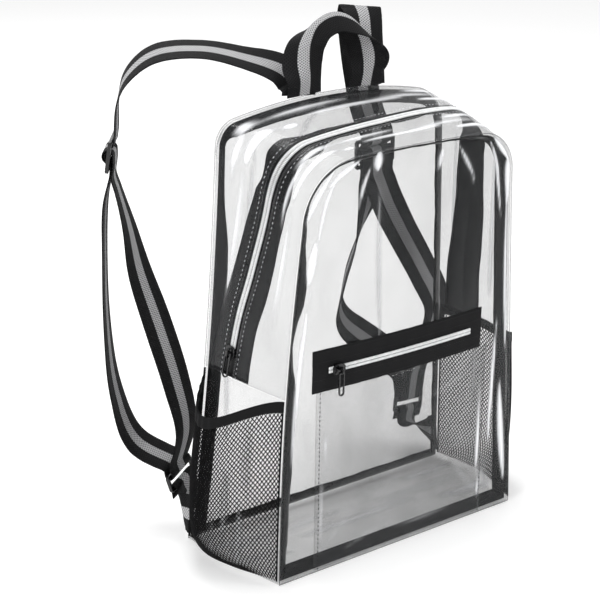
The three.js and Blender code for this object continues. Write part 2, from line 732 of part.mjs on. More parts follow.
// Loose link: an eye round the bridge's bar with a long wire loop below it
function eyedPull() {
  const eyeOuter = PULL_EYE_BORE / 2 + PULL_WIRE;
  const eye = new THREE.Shape();
  eye.absarc(0, 0, eyeOuter, 0, 2 * Math.PI, false);
  const bore = new THREE.Path();
  bore.absarc(0, 0, PULL_EYE_BORE / 2, 0, 2 * Math.PI, true);
  eye.holes.push(bore);
  const ring = new THREE.ExtrudeGeometry(eye, { depth: PULL_WIRE, bevelEnabled: false, curveSegments: 6 })
    .translate(0, 0, -PULL_WIRE / 2)
    .rotateY(Math.PI / 2);
  const drop = PULL_EYE_BORE / 2 + PULL_WIRE / 2;
  const loop = linkShape(PULL_LENGTH - drop, PULL_WIDTH * 0.8, PULL_WIRE, 0);
  const body = new THREE.ExtrudeGeometry(loop, { depth: PULL_WIRE, bevelEnabled: false, curveSegments: 5 })
    .translate(0, -drop, -PULL_WIRE / 2);
  return geometryOf(solidOf(ring).add(solidOf(body)));
}

// Flat pull whose top bar lies in the bridge's hole
function barredPull() {
  const link = linkShape(PULL_LENGTH, PULL_WIDTH, PULL_WIRE, PULL_WIRE / 2);
  return new THREE.ExtrudeGeometry(link, { depth: PULL_WIRE, bevelEnabled: false, curveSegments: 5 })
    .translate(0, 0, -PULL_WIRE / 2);
}

// Place of the front pocket's slider on its tape
function pocketSliderPlace() {
  const x = TEETH_LEFT + POCKET_SLIDER_INSET;
  const foot = onFront(x, TAPE_MIDDLE, TEETH_FOOT);
  const ahead = onFront(x + 1, TAPE_MIDDLE, TEETH_FOOT).sub(foot).normalize();
  const up = onFront(x, TAPE_MIDDLE + 1, TEETH_FOOT).sub(foot).normalize();
  const out = ahead.clone().cross(up).normalize();
  const side = out.clone().cross(ahead);
  return { foot, ahead, side, out };
}

// Place of the main slider, just below the teeth's left end
function mainSliderPlace() {
  const station = TEETH_FROM + SLIDER_LENGTH / 3 / (2 * LOWER_SEAM_HEIGHT);
  const back = zipShare(station);
  const foot = gusset(station, back, TAPE_SUNK - GAP);
  const step = 0.05;
  const ahead = gusset(station + step, zipShare(station + step), TAPE_SUNK - GAP).sub(foot).normalize();
  const out = foot.clone().sub(gusset(station, back, TAPE_SUNK - GAP + 1)).normalize();
  const side = out.clone().cross(ahead).normalize();
  out.copy(ahead).cross(side).normalize();
  return { foot, ahead, side, out };
}

function placed(geometry, x, y, z, origin) {
  const matrix = new THREE.Matrix4().makeBasis(x, y, z).setPosition(origin);
  return geometry.applyMatrix4(matrix);
}

// Net side pockets: side is -1 on the left, 1 on the right
const NET_EDGE_ROOM = 2;
const NET_COLUMNS = 10;

function netTop(across) {
  return NET_TOP - NET_DIP * Math.cos(Math.PI * (across - 0.5)) ** 2;
}

// Point of the pocket's outer face: across runs from the front seam to the back seam
function netPoint(side, across, z, sunk) {
  const q = Math.min(1, z / LOWER_SEAM_HEIGHT);
  const station = side < 0 ? q : STATIONS_END - q;
  const depth = gussetDepth(station);
  const back = lerp(NET_EDGE_ROOM, depth - NET_EDGE_ROOM, across) / depth;
  const point = gusset(station, back, -GAP - NET_WALL);
  const round = Math.max(0, Math.cos(Math.PI * (across - 0.5))) ** 1.3;
  const bulge = NET_BULGE * follow(NET_SHAPE, 'up', 'out', z / netTop(across)) * round;
  point.x += side * (bulge - sunk);
  point.z = z;
  return point;
}

// Four-cornered hole of the net, as a bar to cut along x
function netHole(side, across, z, halfAcross, halfUp) {
  const hole = new THREE.Shape();
  hole.moveTo(-halfAcross, 0);
  hole.lineTo(0, -halfUp);
  hole.lineTo(halfAcross, 0);
  hole.lineTo(0, halfUp);
  const centre = netPoint(side, across, z, 0);
  const reach = NET_BULGE * 2;
  const bar = new THREE.ExtrudeGeometry(hole, { depth: reach, bevelEnabled: false });
  bar.rotateX(Math.PI / 2).rotateZ(Math.PI / 2);
  return solidOf(bar.translate(centre.x - reach / 2, centre.y, centre.z));
}

function netPocket(side) {
  const rows = 4;
  const outer = (u, v) => netPoint(side, u, lerp(NET_FOOT, netTop(u), v), 0);
  const inner = (u, v) => netPoint(side, u, lerp(NET_FOOT, netTop(u), v), NET_WALL);
  let net = solidOf(wall(NET_COLUMNS, rows, outer, inner));
  const rowCount = NET_CELLS_UP * 2 - 1;
  const pitchAcross = (BASE_DEPTH - NET_BAR * 2) / NET_CELLS_ACROSS;
  const pitchUp = (NET_TOP - NET_DIP - NET_FOOT) / (rowCount + 1);
  for (let row = 0; row < rowCount; row += 1) {
    const shifted = row % 2 === 1;
    const count = shifted ? NET_CELLS_ACROSS - 1 : NET_CELLS_ACROSS;
    for (let k = 0; k < count; k += 1) {
      const across = 0.5 + (k - (count - 1) / 2) / (NET_CELLS_ACROSS + 0.35);
      const z = lerp(NET_FOOT, netTop(across), (row + 1) / (rowCount + 1));
      const hole = netHole(side, across, z, (pitchAcross - NET_BAR * 1.4) / 2, pitchUp - NET_BAR * 0.7);
      net = net.subtract(hole);
    }
  }
  return geometryOf(net);
}

// Elastic band along the pocket's mouth
function pocketBand(side) {
  const proud = (BAND_THICKNESS - NET_WALL) / 2;
  const at = (u, v, sunk) => netPoint(side, u, netTop(u) + GAP + BAND_HEIGHT * v, sunk);
  return wall(NET_COLUMNS, 1, (u, v) => at(u, v, -proud), (u, v) => at(u, v, BAND_THICKNESS - proud));
}

// Webbing through a list of stations: point, way across, and how far its edges fold down
function webbing(stations, width) {
  const last = stations.length - 1;
  const half = width / 2;
  const skin = WEBBING_THICKNESS / 2;
  const sections = stations.map(({ point, across, fold }, i) => {
    const before = stations[Math.max(0, i - 1)].point;
    const after = stations[Math.min(last, i + 1)].point;
    const along = after.clone().sub(before).normalize();
    const side = across.clone().addScaledVector(along, -across.dot(along)).normalize();
    const face = side.clone().cross(along);
    const at = (sideways, out) => point.clone().addScaledVector(side, sideways).addScaledVector(face, out);
    if (fold === undefined) {
      return [at(-half, -skin), at(half, -skin), at(half, skin), at(-half, skin)];
    }
    const reach = half * Math.cos(fold * RADIANS);
    const drop = half * Math.sin(fold * RADIANS);
    return [
      at(-reach, -skin - drop), at(0, -skin), at(reach, -skin - drop),
      at(reach, skin - drop), at(0, skin), at(-reach, skin - drop),
    ];
  });
  return loft(sections, false);
}

// How firmly a slide or ring turns the webbing that leaves it, as a share from 1 to 0
function held(u) {
  const reach = 0.35;
  return Math.max(0, 1 - u / reach) ** 2;
}

// Stations along a smooth curve through table rows already placed in space
function curveStations(rows, steps, reference, spin) {
  const curve = new THREE.CatmullRomCurve3(rows.map((row) => row.point), false, 'centripetal');
  const indexed = rows.map((row, index) => ({ ...row, index }));
  const list = [];
  for (let i = 0; i <= steps; i += 1) {
    const u = i / steps;
    const index = u * (rows.length - 1);
    const along = curve.getTangent(u);
    const side = reference.clone().addScaledVector(along, -reference.dot(along)).normalize();
    const turn = spin * follow(indexed, 'index', 'turn', index) * RADIANS;
    const across = side.applyAxisAngle(along, turn);
    if (rows[0].across) across.lerp(rows[0].across, held(u));
    if (rows.at(-1).across) across.lerp(rows.at(-1).across, held(1 - u));
    const station = { point: curve.getPoint(u), across: across.normalize() };
    if (rows[0].fold !== undefined) station.fold = follow(indexed, 'index', 'fold', index);
    list.push(station);
  }
  return list;
}

// Height of the back seam above a place across
function backSeamTop(x) {
  const corner = cornerOf('back', x < 0 ? 'left' : 'right');
  return OUTLINES.back.height - corner.rise * (x / corner.run) ** 2;
}

// The handle stands in the back seam, the straps start just behind it
const SEAM_STAND = 2 * GAP;
const STRAP_STAND = GAP + WEBBING_THICKNESS / 2;

function handle() {
  const y = planeDepth('back', BACK_HEIGHT) + STRAP_STAND - WEBBING_THICKNESS - 2 * GAP;
  const foot = backSeamTop(HANDLE_SPAN / 2 - WEBBING_WIDTH / 2) + SEAM_STAND;
  const rows = HANDLE_WAY.map(({ across, up, back, turn, fold }) => ({
    point: new THREE.Vector3(
      HANDLE_SHIFT + across * HANDLE_SPAN,
      y + back * WEBBING_WIDTH,
      foot + (up * (BACK_HEIGHT + HANDLE_RISE - foot)),
    ),
    turn,
    fold,
  }));
  return webbing(curveStations(rows, 40, new THREE.Vector3(0, -1, 0), 1), WEBBING_WIDTH);
}

// One shoulder strap's own frame and the places on it
function strapFrame(side) {
  const angle = STRAP_PLANE_ANGLE * RADIANS;
  const out = new THREE.Vector3(side * Math.cos(angle), Math.sin(angle), 0);
  const away = new THREE.Vector3(-side * Math.sin(angle), Math.cos(angle), 0);
  const reach = side < 0 ? STRAP_REACH : RIGHT_STRAP_REACH;
  const y = planeDepth('back', BACK_HEIGHT) + STRAP_STAND;
  const anchor = new THREE.Vector3(side * STRAP_ANCHOR, y, 0);
  const place = (row) => anchor.clone()
    .addScaledVector(out, row.out * reach)
    .addScaledVector(away, row.away * reach)
    .setZ(row.up * BACK_HEIGHT);
  return { side, out, away, place };
}

// Frame of a slide or ring: down along the strap, across its bars, face towards the outer run
function hardwareFrame(strap, spot) {
  const lean = spot.lean * RADIANS;
  const down = new THREE.Vector3(0, 0, -Math.cos(lean)).addScaledVector(strap.out, Math.sin(lean));
  const turn = -strap.side * spot.turn * RADIANS;
  const across = strap.away.clone().applyAxisAngle(down, turn);
  const face = strap.out.clone().addScaledVector(down, -strap.out.dot(down)).normalize().applyAxisAngle(down, turn);
  const centre = strap.place(spot);
  const at = (along, out, sideways = 0) => centre.clone()
    .addScaledVector(down, along)
    .addScaledVector(face, out)
    .addScaledVector(across, sideways);
  return { down, across, face, centre, at, turn: spot.turn };
}

// Webbing centre line round a bar, in the hardware's own frame
const BAR_WRAP = HARDWARE_BAR * Math.SQRT1_2 + GAP * 2 + WEBBING_THICKNESS / 2;
const SLIDE_PITCH = SLIDE_WINDOW + HARDWARE_BAR;
const RING_PITCH = RING_WINDOW + HARDWARE_BAR;
const PASS_UNDER = HARDWARE_BAR / 2 + GAP + WEBBING_THICKNESS / 2;
const PASS_OVER = BAR_WRAP + WEBBING_THICKNESS + GAP * 2;

// The outer layer weaves under the end bars and over the loop on the middle bar
function slidePass(frame) {
  const way = [
    [-1.5, -1], [-1, -1], [-0.78, -0.95], [-0.6, -0.3], [-0.42, 0.42], [-0.24, 0.84], [0, 1],
    [0.24, 0.84], [0.42, 0.42], [0.6, -0.3], [0.78, -0.95], [1, -1], [1.5, -1],
  ];
  return way.map(([along, out]) => ({
    point: frame.at(along * SLIDE_PITCH, out < 0 ? -out * -PASS_UNDER : out * PASS_OVER),
    across: frame.across,
  }));
}

// The inner layer comes up under the slide and closes a loop round the middle bar
function slideLoop(frame) {
  const under = PASS_UNDER + WEBBING_THICKNESS + GAP * 2;
  const list = [
    { point: frame.at(SLIDE_PITCH * 1.6, -under), across: frame.across },
    { point: frame.at(SLIDE_PITCH, -under), across: frame.across },
    { point: frame.at(SLIDE_PITCH * 0.5, -under * 0.95), across: frame.across },
  ];
  return [...list, ...wrap(frame, 0, -90, -375, 8)];
}

// Arc of webbing round a bar: degrees from the outer face, turning towards down
function wrap(frame, along, from, to, steps) {
  const list = [];
  for (let i = 0; i <= steps; i += 1) {
    const angle = lerp(from, to, i / steps) * RADIANS;
    const point = frame.at(along + BAR_WRAP * Math.cos(angle), BAR_WRAP * Math.sin(angle));
    list.push({ point, across: frame.across });
  }
  return list;
}

// Whole shoulder strap: seam, slide, outer run, ring, inner run and back to the slide
function shoulderStrap(side, top, slideSpot, runOut, ringSpot, runIn) {
  const strap = strapFrame(side);
  const slideFrame = hardwareFrame(strap, slideSpot);
  const ringFrame = hardwareFrame(strap, ringSpot);
  const spin = -side;
  const placedRows = (rows) => rows.map((row) => ({ point: strap.place(row), turn: row.turn }));
  const pass = slidePass(slideFrame);
  const loop = slideLoop(slideFrame);
  const lead = (out) => ({ point: ringFrame.at(-RING_PITCH / 2, out * BAR_WRAP), across: ringFrame.across });
  const bar = [lead(1), ...wrap(ringFrame, 0, 90, -90, 6), lead(-1)];
  const ends = (station, frame) => ({ ...station, turn: frame.turn });
  const topRows = placedRows(top);
  topRows[0].point.z = backSeamTop(STRAP_ANCHOR - WEBBING_WIDTH / 2) + SEAM_STAND;
  const first = curveStations([...topRows, ends(pass[0], slideFrame)], 26, strap.away, spin);
  const second = curveStations(
    [ends(pass.at(-1), slideFrame), ...placedRows(runOut), ends(bar[0], ringFrame)],
    20,
    strap.away,
    spin,
  );
  const third = curveStations(
    [ends(bar.at(-1), ringFrame), ...placedRows(runIn), ends(loop[0], slideFrame)],
    20,
    strap.away,
    -spin,
  );
  const stations = [
    ...first.slice(0, -1), ...pass, ...second.slice(1, -1), ...bar, ...third.slice(1, -1), ...loop,
  ];
  return webbing(stations, WEBBING_WIDTH);
}

// Flat plastic frame with bars across: used for the slide and the ring
function barFrame(frame, barsAt) {
  const window = WEBBING_WIDTH + 2 * HARDWARE_PLAY;
  const outerWidth = window + 2 * HARDWARE_SIDE;
  const from = barsAt[0] - HARDWARE_BAR / 2;
  const to = barsAt.at(-1) + HARDWARE_BAR / 2;
  const plate = new THREE.Shape();
  const nip = HARDWARE_BAR / 2;
  plate.moveTo(from + nip, -outerWidth / 2);
  plate.lineTo(to - nip, -outerWidth / 2);
  plate.lineTo(to, -outerWidth / 2 + nip);
  plate.lineTo(to, outerWidth / 2 - nip);
  plate.lineTo(to - nip, outerWidth / 2);
  plate.lineTo(from + nip, outerWidth / 2);
  plate.lineTo(from, outerWidth / 2 - nip);
  plate.lineTo(from, -outerWidth / 2 + nip);
  let body = solidOf(new THREE.ExtrudeGeometry(plate, { depth: HARDWARE_BAR, bevelEnabled: false })
    .translate(0, 0, -HARDWARE_BAR / 2));
  for (let i = 0; i < barsAt.length - 1; i += 1) {
    const gap = barsAt[i + 1] - barsAt[i] - HARDWARE_BAR;
    body = body.subtract(block(gap, window, 2 * HARDWARE_BAR, (barsAt[i] + barsAt[i + 1]) / 2, 0, 0));
  }
  const z = frame.down.clone().cross(frame.across);
  return placed(geometryOf(body), frame.down, frame.across, z, frame.centre);
}

// Lower anchor: webbing from the bottom of the back seam, doubled round the ring's lower bar
function lowerAnchor(side, ringSpot) {
  const strap = strapFrame(side);
  const frame = hardwareFrame(strap, ringSpot);
  const q = LOWER_ANCHOR_HEIGHT / LOWER_SEAM_HEIGHT;
  const station = (share) => (side < 0 ? share : STATIONS_END - share);
  const root = seam('back', station(q));
  const along = seam('back', station(q * 1.5)).sub(seam('back', station(q * 0.5))).normalize();
  const clear = GAP + WEBBING_THICKNESS / 2;
  const start = root.clone().add(new THREE.Vector3(side * clear, GAP * 2, 0));
  const flat = frame.across.clone().multiplyScalar(side);
  const bar = wrap(frame, RING_PITCH, -60, -310, 8);
  const joint = frame.at(RING_PITCH + BAR_WRAP * 3.2, -WEBBING_THICKNESS * 2);
  const curve = new THREE.CatmullRomCurve3([
    start,
    start.clone().add(new THREE.Vector3(0, WEBBING_WIDTH * 0.3, 0)),
    joint,
    bar[0].point,
  ], false, 'centripetal');
  const stations = [];
  const steps = 10;
  for (let i = 0; i < steps; i += 1) {
    const u = i / steps;
    const ease = THREE.MathUtils.smoothstep(u, 0, 0.85);
    stations.push({ point: curve.getPoint(u), across: along.clone().lerp(flat, ease).normalize() });
  }
  const wrapped = bar.map(({ point }) => ({ point, across: flat }));
  const tail = { point: frame.at(RING_PITCH + BAR_WRAP * 2.6, BAR_WRAP), across: flat };
  return webbing([...stations, ...wrapped, tail], WEBBING_WIDTH);
}

// Materials and the finished group
const backpack = new THREE.Group();
backpack.name = 'clear_stadium_backpack';

function addPart(name, look, geometry) {
  const { color, roughness, metalness } = LOOKS[look];
  const material = new THREE.MeshStandardMaterial({ color, roughness, metalness });
  const mesh = new THREE.Mesh(geometry, material);
  mesh.name = name;
  backpack.add(mesh);
}

addPart('front_panel', 'vinyl', panel('front'));
addPart('back_panel', 'vinyl', panel('back'));
addPart('gusset_front_strip', 'vinyl', gussetFrontStrip());
addPart('gusset_back_strip', 'vinyl', gussetBackStrip());
addPart('lower_gusset', 'vinyl', lowerGusset());
addPart('front_binding', 'binding', binding('front', FRONT_BINDING_LIE));
addPart('back_binding', 'binding', binding('back', BACK_BINDING_LIE));

addPart('main_zip_tape', 'zipTape', mainZipTape());
addPart('main_zip_teeth', 'zipTeeth', mainZipTeeth());
const mainPlace = mainSliderPlace();
addPart('main_slider', 'pullMetal', placed(
  slider(ZIP_TEETH_WIDTH, ZIP_TEETH_HEIGHT),
  mainPlace.ahead,
  mainPlace.side,
  mainPlace.out,
  mainPlace.foot,
));
const mainHole = mainPlace.foot.clone().addScaledVector(mainPlace.out, bridgeHoleHeight(ZIP_TEETH_HEIGHT));
addPart('main_pull', 'pullMetal', placed(
  barredPull(),
  mainPlace.side.clone().negate(),
  mainPlace.ahead,
  mainPlace.out,
  mainHole,
));

addPart('pocket_panel', 'vinyl', pocketPanel());
addPart('pocket_zip_tape', 'zipTape', frontStrip(
  TAPE_LEFT,
  POCKET_TAPE_WIDTH,
  TAPE_BOTTOM,
  POCKET_TAPE_HEIGHT,
  GAP,
  TAPE_FACE,
  10,
));
addPart('pocket_zip_teeth', 'zipTeeth', frontStrip(
  TEETH_LEFT,
  POCKET_TEETH_LENGTH,
  TAPE_MIDDLE - POCKET_TEETH_WIDTH / 2,
  POCKET_TEETH_WIDTH,
  TEETH_FOOT,
  TEETH_FACE,
  10,
));
const pocketPlace = pocketSliderPlace();
addPart('pocket_slider', 'pullMetal', placed(
  slider(POCKET_TEETH_WIDTH, ZIP_TEETH_HEIGHT),
  pocketPlace.ahead,
  pocketPlace.side,
  pocketPlace.out,
  pocketPlace.foot,
));
const pocketBar = pocketPlace.foot.clone().addScaledVector(pocketPlace.out, bridgeBarHeight(ZIP_TEETH_HEIGHT));
addPart('pocket_pull', 'pullMetal', placed(
  eyedPull(),
  pocketPlace.ahead,
  pocketPlace.side,
  pocketPlace.out,
  pocketBar,
));

for (const side of [-1, 1]) {
  const name = side < 0 ? 'left' : 'right';
  addPart(`${name}_net_pocket`, 'net', netPocket(side));
  addPart(`${name}_pocket_band`, 'binding', pocketBand(side));
}

addPart('top_handle', 'webbing', handle());
addPart('left_strap', 'webbing', shoulderStrap(
  -1,
  LEFT_STRAP_TOP,
  LEFT_SLIDE,
  LEFT_RUN_OUT,
  LEFT_RING,
  LEFT_RUN_IN,
));
addPart('right_strap', 'webbing', shoulderStrap(
  1,
  RIGHT_STRAP_TOP,
  RIGHT_SLIDE,
  RIGHT_RUN_OUT,
  RIGHT_RING,
  RIGHT_RUN_IN,
));
const slideBars = [-SLIDE_PITCH, 0, SLIDE_PITCH];
const ringBars = [0, RING_PITCH];
for (const [name, side, slideSpot, ringSpot] of [
  ['left', -1, LEFT_SLIDE, LEFT_RING],
  ['right', 1, RIGHT_SLIDE, RIGHT_RING],
]) {
  const strap = strapFrame(side);
  addPart(`${name}_slide`, 'plastic', barFrame(hardwareFrame(strap, slideSpot), slideBars));
  addPart(`${name}_ring`, 'plastic', barFrame(hardwareFrame(strap, ringSpot), ringBars));
  addPart(`${name}_lower_anchor`, 'webbing', lowerAnchor(side, ringSpot));
}

export default backpack;
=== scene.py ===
import math

import bpy
import numpy as np
from mathutils import Matrix, Vector


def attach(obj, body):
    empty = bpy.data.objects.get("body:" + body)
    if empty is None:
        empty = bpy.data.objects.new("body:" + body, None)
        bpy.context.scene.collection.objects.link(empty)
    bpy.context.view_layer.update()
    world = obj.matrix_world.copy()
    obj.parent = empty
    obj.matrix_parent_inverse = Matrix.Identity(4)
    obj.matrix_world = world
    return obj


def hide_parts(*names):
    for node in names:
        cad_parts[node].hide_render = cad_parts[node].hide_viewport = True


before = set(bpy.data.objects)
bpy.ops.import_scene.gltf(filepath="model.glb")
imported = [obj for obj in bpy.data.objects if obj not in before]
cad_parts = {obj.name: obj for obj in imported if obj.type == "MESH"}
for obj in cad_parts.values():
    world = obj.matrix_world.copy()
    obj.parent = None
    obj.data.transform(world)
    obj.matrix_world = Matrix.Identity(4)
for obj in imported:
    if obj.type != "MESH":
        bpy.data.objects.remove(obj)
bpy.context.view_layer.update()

# Sizes in millimetres, as in the part's source; meshes are made in metres
MM = 0.001
BODY = "bag"
FRONT_BASE_WIDTH = 284
BACK_BASE_WIDTH = 312
BASE_DEPTH = 119
TOP_DEPTH = 109
WAIST_PINCH = 4
LOWER_SEAM_HEIGHT = 172
PANEL_SWELL = 6
GUSSET_SWELL = 2
OUTLINES = {
    "front": {
        "height": 379, "crown": 3, "base": FRONT_BASE_WIDTH, "bow": 3,
        "left": (121, 56), "right": (122, 42),
    },
    "back": {
        "height": 405, "crown": 11, "base": BACK_BASE_WIDTH, "bow": -2,
        "left": (133, 24), "right": (134, 42),
    },
}
GAP = 0.3
VINYL = 1.2
SHEET = 0.5
PANEL_ROOM = VINYL + 2 * GAP
TAPE_SUNK = VINYL + GAP
ZIP_TAPE_WIDTH = 50
ZIP_SLOT_WIDTH = 13
COIL_WIDTH = 7
COIL_PITCH = 1.5
POCKET_WIDTH = 204
POCKET_HEIGHT = 173
POCKET_FOOT = 3
POCKET_SHIFT = -2
POCKET_SWELL = 8
POCKET_TAPE_WIDTH = 199
POCKET_TAPE_HEIGHT = 39
POCKET_TAPE_SHIFT = -8.5
POCKET_TEETH_LENGTH = 166
NET_TOP = 161
NET_DIP = 20
NET_FOOT = 4
NET_BULGE = 42
NET_THREAD = 0.5
BAND_HEIGHT = 10
BINDING_WIDTH = 12
WEBBING_WIDTH = 38
WEBBING_THICKNESS = 1.5

# Station round the arch: 0 to 1 up to the lower seam, 2 the shoulder, 3 round it,
# 4 the top's middle, and mirrored to 8
STATIONS_END = 8
ZIP_WAY = [
    (1.0, 0.69), (1.3, 0.615), (1.6, 0.49), (2.0, 0.37), (2.5, 0.36), (3.0, 0.37),
    (4.0, 0.4), (5.0, 0.5), (5.5, 0.51), (6.0, 0.55), (6.4, 0.6), (7.0, 0.67),
]
# Bindings: station, lie in degrees from the panel towards the gusset, share of the full width
FRONT_LIE = [
    (0.0, 30, 1.0), (1.0, 12, 1.0), (1.3, 45, 0.8), (1.6, 10, 1.0), (2.0, 35, 0.8),
    (2.5, 45, 0.7), (3.0, 60, 0.8), (5.0, 65, 0.8), (6.0, 30, 1.0), (8.0, 30, 1.0),
]
BACK_LIE = [
    (0.0, 20, 1.0), (1.5, 20, 1.0), (1.8, 40, 0.5), (2.3, 40, 0.5), (2.8, 15, 1.0),
    (5.0, 15, 1.0), (8.0, 25, 1.0),
]
NET_SHAPE = [(0.0, 0.06), (0.1, 0.55), (0.25, 0.86), (0.55, 1.0), (1.0, 0.96), (1.1, 0.94)]


def lerp(a, b, t):
    return a + (b - a) * t


def unit(v):
    return v / np.linalg.norm(v)


def smooth(t):
    t = min(1.0, max(0.0, t))
    return t * t * (3 - 2 * t)


# Smooth curve through one column of a table
def follow(rows, at, column=1):
    last = len(rows) - 1
    if at <= rows[0][0]:
        return rows[0][column]
    if at >= rows[last][0]:
        return rows[last][column]
    i = next(k for k in range(last) if at < rows[k + 1][0])

    def slope(k):
        a, b = rows[max(0, k - 1)], rows[min(last, k + 1)]
        return (b[column] - a[column]) / (b[0] - a[0])

    span = rows[i + 1][0] - rows[i][0]
    u = (at - rows[i][0]) / span
    start, end = rows[i][column], rows[i + 1][column]
    rise = slope(i) * span * u * (1 - u) ** 2
    fall = slope(i + 1) * span * u * u * (u - 1)
    return start * (1 + 2 * u) * (1 - u) ** 2 + end * u * u * (3 - 2 * u) + rise + fall


def corner_of(face, side):
    outline = OUTLINES[face]
    shoulder, radius = outline[side]
    crown = math.radians(outline["crown"])
    run = shoulder - radius + radius * math.sin(crown)
    rise = run * math.tan(crown) / 2
    centre = outline["height"] - rise - radius * math.cos(crown)
    return shoulder, radius, run, rise, centre


def half_width(face, side, z):
    shoulder, radius, run, _, centre = corner_of(face, side)
    if z <= centre:
        share = z / centre
        bow = OUTLINES[face]["bow"] * math.sin(math.pi * share)
        return lerp(OUTLINES[face]["base"] / 2, shoulder, share) + bow
    above = min(z - centre, radius)
    return max(run, shoulder - radius + math.sqrt(radius ** 2 - above ** 2))


def half_arch(face, side, q):
    shoulder, radius, run, rise, centre = corner_of(face, side)
    crown = math.radians(OUTLINES[face]["crown"])
    height = OUTLINES[face]["height"]
    if q <= 2:
        z = q * LOWER_SEAM_HEIGHT if q <= 1 else lerp(LOWER_SEAM_HEIGHT, centre, q - 1)
        return half_width(face, side, z), z
    if q <= 3:
        angle = (q - 2) * (math.pi / 2 - crown)
        return shoulder - radius + radius * math.cos(angle), centre + radius * math.sin(angle)
    u = q - 3
    return run * (1 - u), height - rise * (1 - u) ** 2


def plane_depth(face, z):
    share = z / OUTLINES[face]["height"]
    pinch = WAIST_PINCH * math.sin(math.pi * min(1, max(0, share)))
    half = lerp(BASE_DEPTH, TOP_DEPTH, share) / 2 - pinch
    return -half if face == "front" else half


def seam(face, station):
    left = station <= STATIONS_END / 2
    x, z = half_arch(face, "left" if left else "right", station if left else STATIONS_END - station)
    return np.array([-x if left else x, plane_depth(face, z), z])


def gusset_depth(station):
    return np.linalg.norm(seam("front", station) - seam("back", station))


def gusset_frame(station, back):
    step = 0.02
    before, after = max(0, station - step), min(STATIONS_END, station + step)
    at = lambda s: lerp(seam("front", s), seam("back", s), back)
    along = unit(at(after) - at(before))
    depth = unit(seam("back", station) - seam("front", station))
    return at(station), along, depth, -unit(np.cross(depth, along))


def gusset(station, back, sunk):
    point, _, _, outward = gusset_frame(station, back)
    swell = GUSSET_SWELL * math.sin(math.pi * min(1, max(0, back)))
    return point + outward * (swell - sunk)


def zip_share(station):
    return follow(ZIP_WAY, station)


def panel_swell(face, x, z):
    half = half_width(face, "left" if x < 0 else "right", z)
    across = max(0, 1 - (x / half) ** 2)
    up = math.sin(math.pi * min(1, max(0, z / OUTLINES[face]["height"])))
    return PANEL_SWELL * (1 if face == "front" else 0.5) * across * up


def on_front(x, z, lift):
    return np.array([x, plane_depth("front", z) - panel_swell("front", x, z) - lift, z])


# Camera: fitted to the photograph, with its slight roll
PHOTO_WIDTH = 600
PHOTO_FOCAL = 1684.9
CAMERA_AZIMUTH = -39.09
CAMERA_ELEVATION = 19.93
CAMERA_ROLL = 1.51
CAMERA_PLACE = (-958.36, -1083.10, 742.86)


def add_camera():
    azimuth, elevation = math.radians(CAMERA_AZIMUTH), math.radians(CAMERA_ELEVATION)
    back = np.array([
        math.sin(azimuth) * math.cos(elevation),
        -math.cos(azimuth) * math.cos(elevation),
        math.sin(elevation),
    ])
    right = unit(np.cross(-back, [0, 0, 1]))
    up = np.cross(back, right)
    roll = math.radians(CAMERA_ROLL)
    rolled_right = math.cos(roll) * right + math.sin(roll) * up
    rolled_up = -math.sin(roll) * right + math.cos(roll) * up
    data = bpy.data.cameras.new("camera")
    data.sensor_width = 36
    data.lens = 36 * PHOTO_FOCAL / PHOTO_WIDTH
    data.clip_end = 50
    camera = bpy.data.objects.new("camera", data)
    matrix = Matrix.Identity(4)
    for row in range(3):
        matrix[row][0] = rolled_right[row]
        matrix[row][1] = rolled_up[row]
        matrix[row][2] = back[row]
        matrix[row][3] = CAMERA_PLACE[row] * MM
    camera.matrix_world = matrix
    bpy.context.collection.objects.link(camera)
    bpy.context.scene.camera = camera


# Small helpers for node trees
def node(tree, kind, **settings):
    made = tree.nodes.new(kind)
    for key, value in settings.items():
        setattr(made, key, value)
    return made


def math_node(tree, operation, first, second=None, clamp=False):
    made = node(tree, "ShaderNodeMath", operation=operation, use_clamp=clamp)
    for index, value in enumerate((first, second)):
        if value is None:
            continue
        if isinstance(value, (int, float)):
            made.inputs[index].default_value = value
        else:
            tree.links.new(value, made.inputs[index])
    return made.outputs[0]


def new_group(name, inputs, outputs):
    group = bpy.data.node_groups.new(name, "ShaderNodeTree")
    for label, kind, value in inputs:
        socket = group.interface.new_socket(label, in_out="INPUT", socket_type=kind)
        if value is not None:
            socket.default_value = value
    for label, kind in outputs:
        group.interface.new_socket(label, in_out="OUTPUT", socket_type=kind)
    return group, node(group, "NodeGroupInput"), node(group, "NodeGroupOutput")


